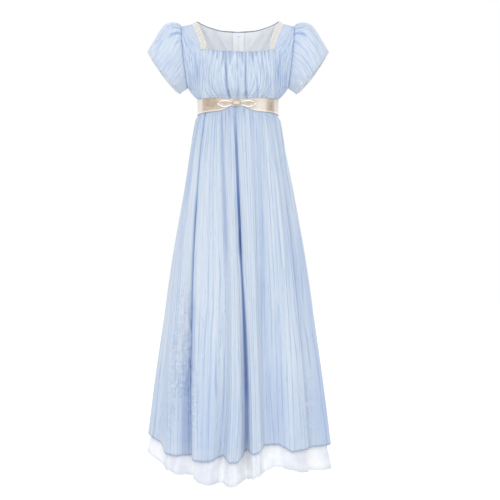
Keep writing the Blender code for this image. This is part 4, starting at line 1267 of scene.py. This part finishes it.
def build_skirt_panel(key, first, last):
    fold, drop = skirt_grid(first, last, 18, HEM_DROP, 150)
    base = skirt_point(fold, drop)
    normal = grid_normals(base)
    below = drop - 1.5 + BELT.at(np.abs(FOLDS.at(fold).waist_angle)).bottom
    under_belt = smooth(0, 9, below)
    reach = 60 + 70 * (noise(fold * 3.1, 0, 91) + 1)
    gather = np.exp(-np.clip(below - 14, 0, None) / reach)
    small = noise(fold * 5.3, drop / 240, 92) + 0.6 * noise(fold * 10, drop / 160, 93)
    ribs = noise(fold * 4.3, drop / 330, 94) + 0.55 * noise(fold * 8.1, drop / 210, 95)
    lines = long_creases(fold, drop)
    tucks = noise(fold * 7 + 3, drop / 60, 90)
    height = under_belt * (1.35 * small * gather + 0.85 * ribs * smooth(296, 420, drop))
    height += under_belt * 0.9 * tucks * np.exp(-np.clip(below, 0, None) / 26)
    height += lines * under_belt
    hem_gap = HEM_DROP - drop
    wrinkles = noise(fold * 2.2, drop / 5, 96) * smooth(60, 20, hem_gap) * smooth(1, 8, hem_gap)
    height += 0.6 * wrinkles * smooth(0, 0.5, noise(fold * 1.1, 0, 97))
    height -= 0.5 * bell(hem_gap, 35, 1.6)
    seam_gap = nearest_end((fold - first) * 40)
    height += edge_dip(seam_gap, 0.8, 3) * smooth(281, 296, drop)
    crumple = creases(fold, drop, SKIRT_CRUMPLES) * smooth(20, 60, hem_gap)
    cross = noise(fold * 6 + drop / 22, drop / 11, 87) + 0.8 * noise(fold * 11, drop / 7, 88)
    height += crumple * cross
    points = base + normal * height[..., None]
    points[..., 2] += 1.2 * noise(fold * 6, 0, 98) * smooth(30, 0, hem_gap)
    # Painted shade in the valleys and creases, in the listed shades, in the gathers and tucks under the
    # belt, as the belt's shadow just below it, in the crumples and more toward the hem; the turned-up hem
    # band is paler; edge draws the dark hem line.
    shade = 0.05 * valleys(fold, drop) + np.clip(-lines * 0.03, 0, 0.3)
    shade += creases(fold, drop, SKIRT_SHADES)
    shade += 0.2 * np.clip(-small, 0, 1.2) * gather * under_belt
    shade += 0.42 * np.clip(-tucks, 0, 1) * under_belt * np.exp(-np.clip(below, 0, None) / 28)
    shade += 0.2 * np.exp(-np.abs(below) / 4) + 0.06 * crumple * np.clip(-cross, 0, 1.2)
    shade += (0.1 + 0.01 * smooth(12, 18, fold)) * smooth(1000, 1180, drop)
    turned = smooth(37, 33, hem_gap) * (0.7 + 0.6 * noise(fold * 3, drop / 12, 99))
    # hollow: deeper painted shade where a fold closes over a hollow, fading toward the hem
    hollow = 0.82 * smooth(0.36, 0.62, creases(fold, drop, SKIRT_HOLLOW_SHADES))
    return sheet_piece(
        f"skirt_{key}_cloth", f"skirt_{key}", BLUE,
        turned_edge(points, normal, 1.4, deep=5), vec(fold * FLAT_PER_FOLD + 900, drop),
        shade=np.clip(shade, 0, 0.95), pale=creases(fold, drop, SKIRT_PAINTED_LIGHTS) + 0.34 * turned,
        edge=0.75 * smooth(1.6, 0.3, hem_gap), crumple=np.clip(crumple * 0.7, 0, 1),
        fold=hollow * (1 - 0.5 * smooth(1090, 1175, drop)),
    )


def build_underskirt_panel(key, first, last):
    fold, drop = skirt_grid(first, last, 14, UNDER_HEM_DROP, 110)
    line = FOLDS.at(fold)
    base = skirt_point(fold, drop, UNDERSKIRT_DEPTH.at(drop).depth, line.under_raised)
    normal = grid_normals(base)
    hem_gap = UNDER_HEM_DROP - drop
    low = smooth(120, 20, hem_gap)
    ribs = noise(fold * 3.3, drop / 260, 101) + 0.6 * noise(fold * 6.7, drop / 150, 102)
    height = 0.5 * ribs * smooth(296, 460, drop) * (0.35 + 1.6 * low)
    height += long_creases(fold, drop) - 1.4 * smooth(296, 460, drop)
    height += 1 * noise(fold * 2.6, drop / 9, 103) * smooth(30, 6, hem_gap)
    height += 0.35 * noise(fold * 9, drop / 6, 108) * smooth(70, 30, hem_gap)
    height -= 0.5 * bell(hem_gap, 12, 1.4)
    points = base + normal * np.where(drop < 296, -0.1, height)[..., None]
    ripple = 2.4 * noise(fold * 3.2, 0, 104) + 1.2 * noise(fold * 7, 0, 105)
    points[..., 2] += ripple * smooth(46, 0, hem_gap)
    cloud = noise(fold * 2.4, drop / 22, 106) + 0.6 * noise(fold * 5, drop / 8, 107)
    # Painted shade: a grey over the white, darker in cloudy patches, in the valleys higher up and on the
    # ridges near the hem, where it damps their highlights; lighter in the valleys near the hem. edge
    # draws a grey line at the hem.
    shade = 0.3 + 0.12 * cloud + 0.12 * valleys(fold, drop) * (1 - 2.2 * low)
    return sheet_piece(
        f"underskirt_{key}_cloth", f"underskirt_{key}", WHITE,
        turned_edge(points, normal, 1.2, deep=1), vec(fold * 62, drop),
        shade=shade + 0.22 * np.clip(line.out / 14, 0, 1) * low,
        edge=0.4 * smooth(1.4, 0.2, hem_gap),
    )


def build_skirts():
    # first and last fold, the hem's width in metres, and the flat areas of the blue and white panels
    for key, first, last, width, area, under_area in (
        ("front", RIGHT_SEAM, LEFT_SEAM, 1.06, 0.8, 0.78),
        ("back_left", LEFT_SEAM, FOLD_COUNT, 0.42, 0.31, 0.315),
        ("back_right", 0, RIGHT_SEAM, 0.56, 0.39, 0.4),
    ):
        item = build_skirt_panel(key, first, last)
        item = build_underskirt_panel(key, first, last)


# Belt and bow

def belt_surface(angle, t):
    row = BELT.at(np.abs(np.degrees(angle)))
    z = row.bottom + (row.top - row.bottom) * t
    flare = np.abs(z - WAIST_Z) * BELT_FLARE
    outward = vec(np.sin(angle), -np.cos(angle), 0)
    point = waist_point(angle) + outward * (CLOTH_WALL + BELT_GAP + flare)[..., None]
    point[..., 2] = z
    return point


# Painted sheen of the satin by the angle from the centre front in degrees: tone 0 deep champagne, 1 pale,
# and the strength of its painted highlight
BELT_PAINTED_SHEEN = Sections("angle tone bright", [
    (-180, 0.5, 0),
    (-120, 0.45, 0),
    (-96, 0.6, 0.1),
    (-78, 0.8, 0.35),
    (-62, 0.85, 0.3),
    (-56, 0.22, 0),
    (-48, 0.08, 0),
    (-38, 0.14, 0),
    (-31, 0.2, 0),
    (-20, 0.6, 0.2),
    (0, 0.85, 0.3),
    (20, 0.62, 0.15),
    (32, 0.8, 0.35),
    (41, 0.75, 0.25),
    (46, 0.25, 0),
    (53, 0.05, 0),
    (59, 0.15, 0),
    (66, 0.7, 0.2),
    (80, 0.75, 0.3),
    (100, 0.55, 0.1),
    (140, 0.35, 0),
    (180, 0.5, 0),
])


def build_belt():
    angle, t = grid(-PI, PI, 481, 0, 1, 29)
    base = belt_surface(angle, t)
    normal = grid_normals(base, closed=True)
    aside = np.abs(angle)
    rim_gap = np.minimum(t, 1 - t)
    near = np.exp(-aside / 0.42)
    fan = np.cos(2 * PI * (3 * t + 0.35 * np.sin(angle * 3)))
    low_rim = bell(t, 0.07, 0.05)
    length = noise(angle * 3 + 40, t * 3, 111) + 0.5 * noise(angle * 8 + 60, t * 4, 112)
    side_fold = bell(aside + 0.05 * t, 1.07, 0.03) * (aside < 2)
    height = 0.45 * (low_rim + bell(t, 0.93, 0.05))
    height += 0.7 * fan * near * (0.3 + 0.7 * smooth(0.02, 0.15, rim_gap))
    height = (height + 0.3 * length - 0.7 * side_fold) * smooth(PI, PI - 0.05, aside)
    height -= 0.3 * np.exp(-rim_gap / 0.015)
    points = closed_edges(base + normal * (BELT_WALL + height * 0.6)[..., None], normal, 0.9, 1.5)
    # Painted sheen and highlights by the angle, a painted highlight on the lower rim, painted shade in
    # the pleats fanning from the knot, and painted shade in the side folds (edge).
    look = BELT_PAINTED_SHEEN.at(np.degrees(angle))
    tone = look.tone + 0.1 * noise(angle * 14 + 30, t * 2.5, 113) + 0.25 * low_rim
    tone -= 0.35 * near * np.clip(-fan, 0, 1)
    bright = look.bright * (0.55 + 0.45 * np.cos(PI * (t - 0.4))) + 0.55 * low_rim
    item = sheet_piece(
        "satin_belt", "belt", SATIN, points, vec(angle * 115 + 400, t * 45),
        closed=True, lead=1, tone=np.clip(tone, 0, 1), bright=np.clip(bright, 0, 0.95),
        edge=0.35 * side_fold,
    )


def bow_plane_y(x):
    points = belt_surface(np.arcsin(x / WAIST_HALF_WIDTH), np.full(np.shape(x), 0.5))
    return points[..., 1] - BELT_WALL - LAYER_GAP


def build_loop(word, side):
    t, w = grid(0, 1, 64, -1, 1, 33)
    row = LOOP.at(t)
    x = BOW_CENTRE_X + side * (LOOP_START + LOOP_LENGTH * t)
    base = vec(x, bow_plane_y(x) - LOOP_LIFT - row.hollow * w * w, BOW_Z + row.half_height * w)
    normal = grid_normals(base, base - to_front(base))
    rim = np.maximum(smooth(0.6, 0.76, np.abs(w)), smooth(0.88, 0.95, t))
    pleat = np.cos(PI * 5 * w) * np.exp(-t / 0.28)
    height = 0.9 + 1.3 * rim + 0.5 * pleat + 0.25 * noise(t * 6, w * 3 + 9, 121)
    # Painted highlights on the rims, lighter and darker pleats near the knot, a peach highlight by the
    # knot, and a dark line inside the rims as painted shadow.
    tone = 0.42 + 0.6 * rim + 0.2 * pleat + 0.45 * noise(t * 4, w * 2 + 5, 122)
    item = sheet_piece(
        f"bow_loop_satin_{word}", f"bow_loop_{word}", SATIN,
        closed_edges(base + normal * height[..., None], normal, 1.6, 0.3), vec(t * 46, w * 12),
        to_front, lead=1, tone=np.clip(tone, 0, 1), bright=0.95 * rim, white=rim,
        peach=0.2 * np.exp(-t / 0.2), edge=0.22 * bell(np.abs(w), 0.56, 0.06) * smooth(0.1, 0.3, t),
    )


def build_knot():
    """Ribbon wrapped upright round the bow's middle, with soft pleats."""
    around, across = grid(0, 2 * PI, 97, -1, 1, 41)
    half = 0.5 * np.array(KNOT_SIZE)
    swell = np.clip(1 - np.abs(across) ** 5, 0, 1) ** 0.5
    pleats = np.cos(across * 9 + 0.6 * np.sin(around))
    size = 0.96 * (
        1 + 0.045 * pleats + 0.02 * noise(across * 6 + 9, np.cos(around) * 2 + 9, 131)
    )
    centre = np.array((BOW_CENTRE_X, float(bow_plane_y(np.array(BOW_CENTRE_X))) - half[1], KNOT_Z))
    waisted = np.maximum(swell, 0.02) * (0.74 + 0.26 * across ** 2)
    points = centre + half * vec(
        across * 0.98, -np.cos(around) * swell * size, np.sin(around) * waisted * size
    )
    # Painted shade in the grooves and toward the ends; a painted peach highlight low on the front.
    groove = np.clip(-pleats, 0, 1)
    knot_highlight = bell(around - 2 * PI * (around > PI), -0.25, 0.35) * np.exp(-across ** 2 / 0.6)
    item = sheet_piece(
        "bow_knot_satin", "bow_knot", SATIN, points,
        vec(around * 9, across * 12 + 60), lambda place: place - centre, closed=True,
        tone=0.35 - 0.2 * groove, bright=0.25 * knot_highlight, peach=0.8 * knot_highlight,
        edge=0.12 * groove + 0.25 * smooth(0.75, 1, np.abs(across)),
    )


# Lace

LACE_PITCH = 7.6
NET_PITCH = 1.7


def build_lace(word, side):
    """A strip with rows of flowers, a waving stem, a cord at both edges, a net and a scalloped rim."""
    u, t = grid(0, 1, 57, 0.012, 0.99, 330)
    row = STRAP_EDGE.at(t)
    width = row.lace_left if word == "left" else row.lace_right
    outer = STRAP_EDGE.point(t) - np.array((0.3, 0, 0))
    toward = unit(lerp(LACE_AT_CORNER, LACE_AT_SHOULDER, t))
    run = arc(outer, 0)
    scallop = 0.075 * (np.abs(np.cos(PI * run / LACE_PITCH)) - 0.6)
    inner = outer + toward * (width * (0.97 + scallop * smooth(0.4, 1, 1 - u)))[..., None]
    base = mirrored(lerp(inner, outer, u), side)
    normal = grid_normals(base)
    x = (1 - u) * width
    flower, eye = np.zeros_like(x), np.zeros_like(x)
    for offset, lane in ((0, 4.6), (0.5, 10.6), (0, 16.4)):
        along = ((run / LACE_PITCH + offset + 0.5) % 1 - 0.5) * LACE_PITCH
        radius = np.hypot(x - lane, along)
        petals = 2.35 + 0.85 * np.cos(5 * np.arctan2(x - lane, along) + offset * 3)
        flower = np.maximum(flower, smooth(0.35, -0.35, radius - petals))
        eye = np.maximum(eye, smooth(0.9, 0.5, radius))
    cord = bell(x, 1, 0.55) + bell(x, width * 0.95, 0.6)
    stem = bell(x, 8 + 2.6 * np.sin(PI * run / LACE_PITCH), 0.5)
    solid = np.clip(np.maximum(np.maximum(flower, cord), stem), 0, 1)
    net = np.cos(2 * PI * run / NET_PITCH) * np.cos(2 * PI * (x + 0.5 * run) / NET_PITCH)
    item = sheet_piece(
        f"lace_trim_{word}", f"lace_{word}", IVORY,
        base + normal * (0.35 + 0.75 * solid - 0.4 * eye)[..., None], vec(x, run),
        keep=corners(np.maximum(solid, 0.25 * (net < 0.2))).mean(axis=2) > 0.06,
        raised=np.clip(solid - 0.5 * eye, 0, 1),
    )


# Zip

def zip_rows(count):
    """Depth and height of the inner face of the centre back, from the skirt up to the neck."""
    drops = np.array((412, 340, GATHER_DROP, BELT_LOW_DROP))
    low = skirt_point(np.full(len(drops), float(FOLD_COUNT)), drops, UNDERSKIRT_DEPTH.at(drops).depth)
    high = CENTRE_BACK.at(np.linspace(0, TAPE_TOP, 60))
    y = np.concatenate((low[:, 1] + (ZIP_DEPTH - LINING_WALL - LAYER_GAP), high.y))
    z = np.concatenate((-drops, high.z))
    length = np.concatenate(((0,), np.cumsum(np.hypot(np.diff(y), np.diff(z)))))
    run = np.linspace(0, length[-1], count)
    return run, np.interp(run, length, y), np.interp(run, length, z)


TAPE_ROWS = 200


def build_tape():
    run, y, z = zip_rows(TAPE_ROWS)
    x, row = grid(-TAPE_HALF_WIDTH, TAPE_HALF_WIDTH, 35, 0, TAPE_ROWS - 1, TAPE_ROWS)
    row = row.astype(int)
    side = np.abs(x)
    height = 0.35 * smooth(15, 17, side) + 0.4 * bell(side, 3.2, 0.5)
    item = sheet_piece(
        "zip_tape_cloth", "zip_tape", TAPE,
        vec(x, y[row] - ZIP_DEPTH - TAPE_ROUNDING * x * x - 0.5 + height * -0.6, z[row]),
        vec(x + 20, run[row]), to_front,
        # painted highlight along the tape's edges, stronger at +x
        bright=0.85 * smooth(12.5, 15, x) + 0.3 * smooth(-14.5, -16, x),
    )


COIL_PITCH = 2.2
COIL_RADIUS = 2
COIL_WIRE = 0.5
COIL_STEPS = 9
WIRE_SIDES = 6
UNDER_SLIDER = (-24.5, -12)


def build_coil():
    """The zip's closed coil: small crossed loops down the tape's middle, left out under the slider."""
    run, y, z = zip_rows(400)
    loop = np.arange(int(run[-1] / COIL_PITCH) - 2)
    height = np.interp((loop + 1.5) * COIL_PITCH, run, z)
    loop = loop[(height <= UNDER_SLIDER[0]) | (height >= UNDER_SLIDER[1])]
    turn, bend = grid(0, 2 * PI, WIRE_SIDES + 1, 0, PI, COIL_STEPS)
    turn, bend = turn[:, :-1], bend[:, :-1]
    side = np.where(loop % 2, 1, -1)[:, None, None]
    at = (loop[:, None, None] + 1.5) * COIL_PITCH + 0.35 * side * np.cos(bend)
    points = vec(
        side * COIL_RADIUS * np.cos(bend) + COIL_WIRE * 0.4 * np.cos(turn),
        np.interp(at, run, y) - ZIP_DEPTH - 0.55 - 0.9 * np.sin(bend) + COIL_WIRE * 0.5 * np.sin(turn),
        np.interp(at, run, z) + COIL_WIRE * 0.9 * np.cos(turn),
    )
    index = np.arange(len(loop) * COIL_STEPS * WIRE_SIDES).reshape(-1, COIL_STEPS, WIRE_SIDES)
    index = np.concatenate((index, index[..., :1]), axis=2)
    quads = [corners(one).reshape(-1, 4) for one in index]
    mesh = bpy.data.meshes.new("zip_coil")
    mesh.from_pydata((points * MM).reshape(-1, 3).tolist(), [], np.concatenate(quads).tolist())
    mesh_piece(mesh, *COIL, [])


def dress_metal():
    for name in ("zip_slider", "zip_pull", "zip_stop"):
        for slot in bpy.data.objects[name].material_slots:
            slot.material = METAL


# Stage, light and camera

FLOOR_HALF, FLOOR_Z = 14, -1.6


def build_stage():
    mesh = bpy.data.meshes.new("floor")
    outline = [(x * FLOOR_HALF, y * FLOOR_HALF, FLOOR_Z) for x, y in ((-1, -1), (1, -1), (1, 1), (-1, 1))]
    mesh.from_pydata(outline, [], [(0, 1, 2, 3)])
    paint = Paint("pale_floor", (0.96, 0.96, 0.962), 0.9, Specular_IOR_Level=0.1)
    mesh.materials.append(paint.material)
    add_object("floor", mesh)


def sun_light(name, toward, strength, spread):
    data = bpy.data.lights.new(name, "SUN")
    data.energy, data.angle = strength, math.radians(spread)
    add_object(name, data).rotation_euler = Vector(toward).to_track_quat("Z", "Y").to_euler()


def build_light():
    scene = bpy.context.scene
    scene.world = bpy.data.worlds.new("studio")
    scene.world.use_nodes = True
    background = scene.world.node_tree.nodes["Background"]
    background.inputs["Color"].default_value = (1, 1, 1, 1)
    background.inputs["Strength"].default_value = 1
    scene.view_settings.view_transform = "Standard"
    scene.view_settings.look = "None"
    sun_light("key", (-0.12, -1, 0.6), 0.78, 40)
    sun_light("overhead", (-0.1, 0.1, 1), 0.3, 80)


CAMERA_PLACE = (0.0366, -3.2, -0.69)
CAMERA_LENS = 75.5


def build_camera():
    data = bpy.data.cameras.new("camera")
    data.lens, data.sensor_width = CAMERA_LENS, 36
    item = add_object("camera", data)
    item.location = CAMERA_PLACE
    item.rotation_euler = (PI / 2, 0, 0)
    bpy.context.scene.camera = item


build_camera()
build_front()
for word, side in (("left", 1), ("right", -1)):
    build_side_front(word, side)
    build_back(word, side)
    build_lining(word, side)
    build_sleeve(word, side)
    build_lace(word, side)
    build_loop(word, side)
build_skirts()
build_belt()
build_knot()
build_tape()
build_coil()
dress_metal()
build_stage()
build_light()
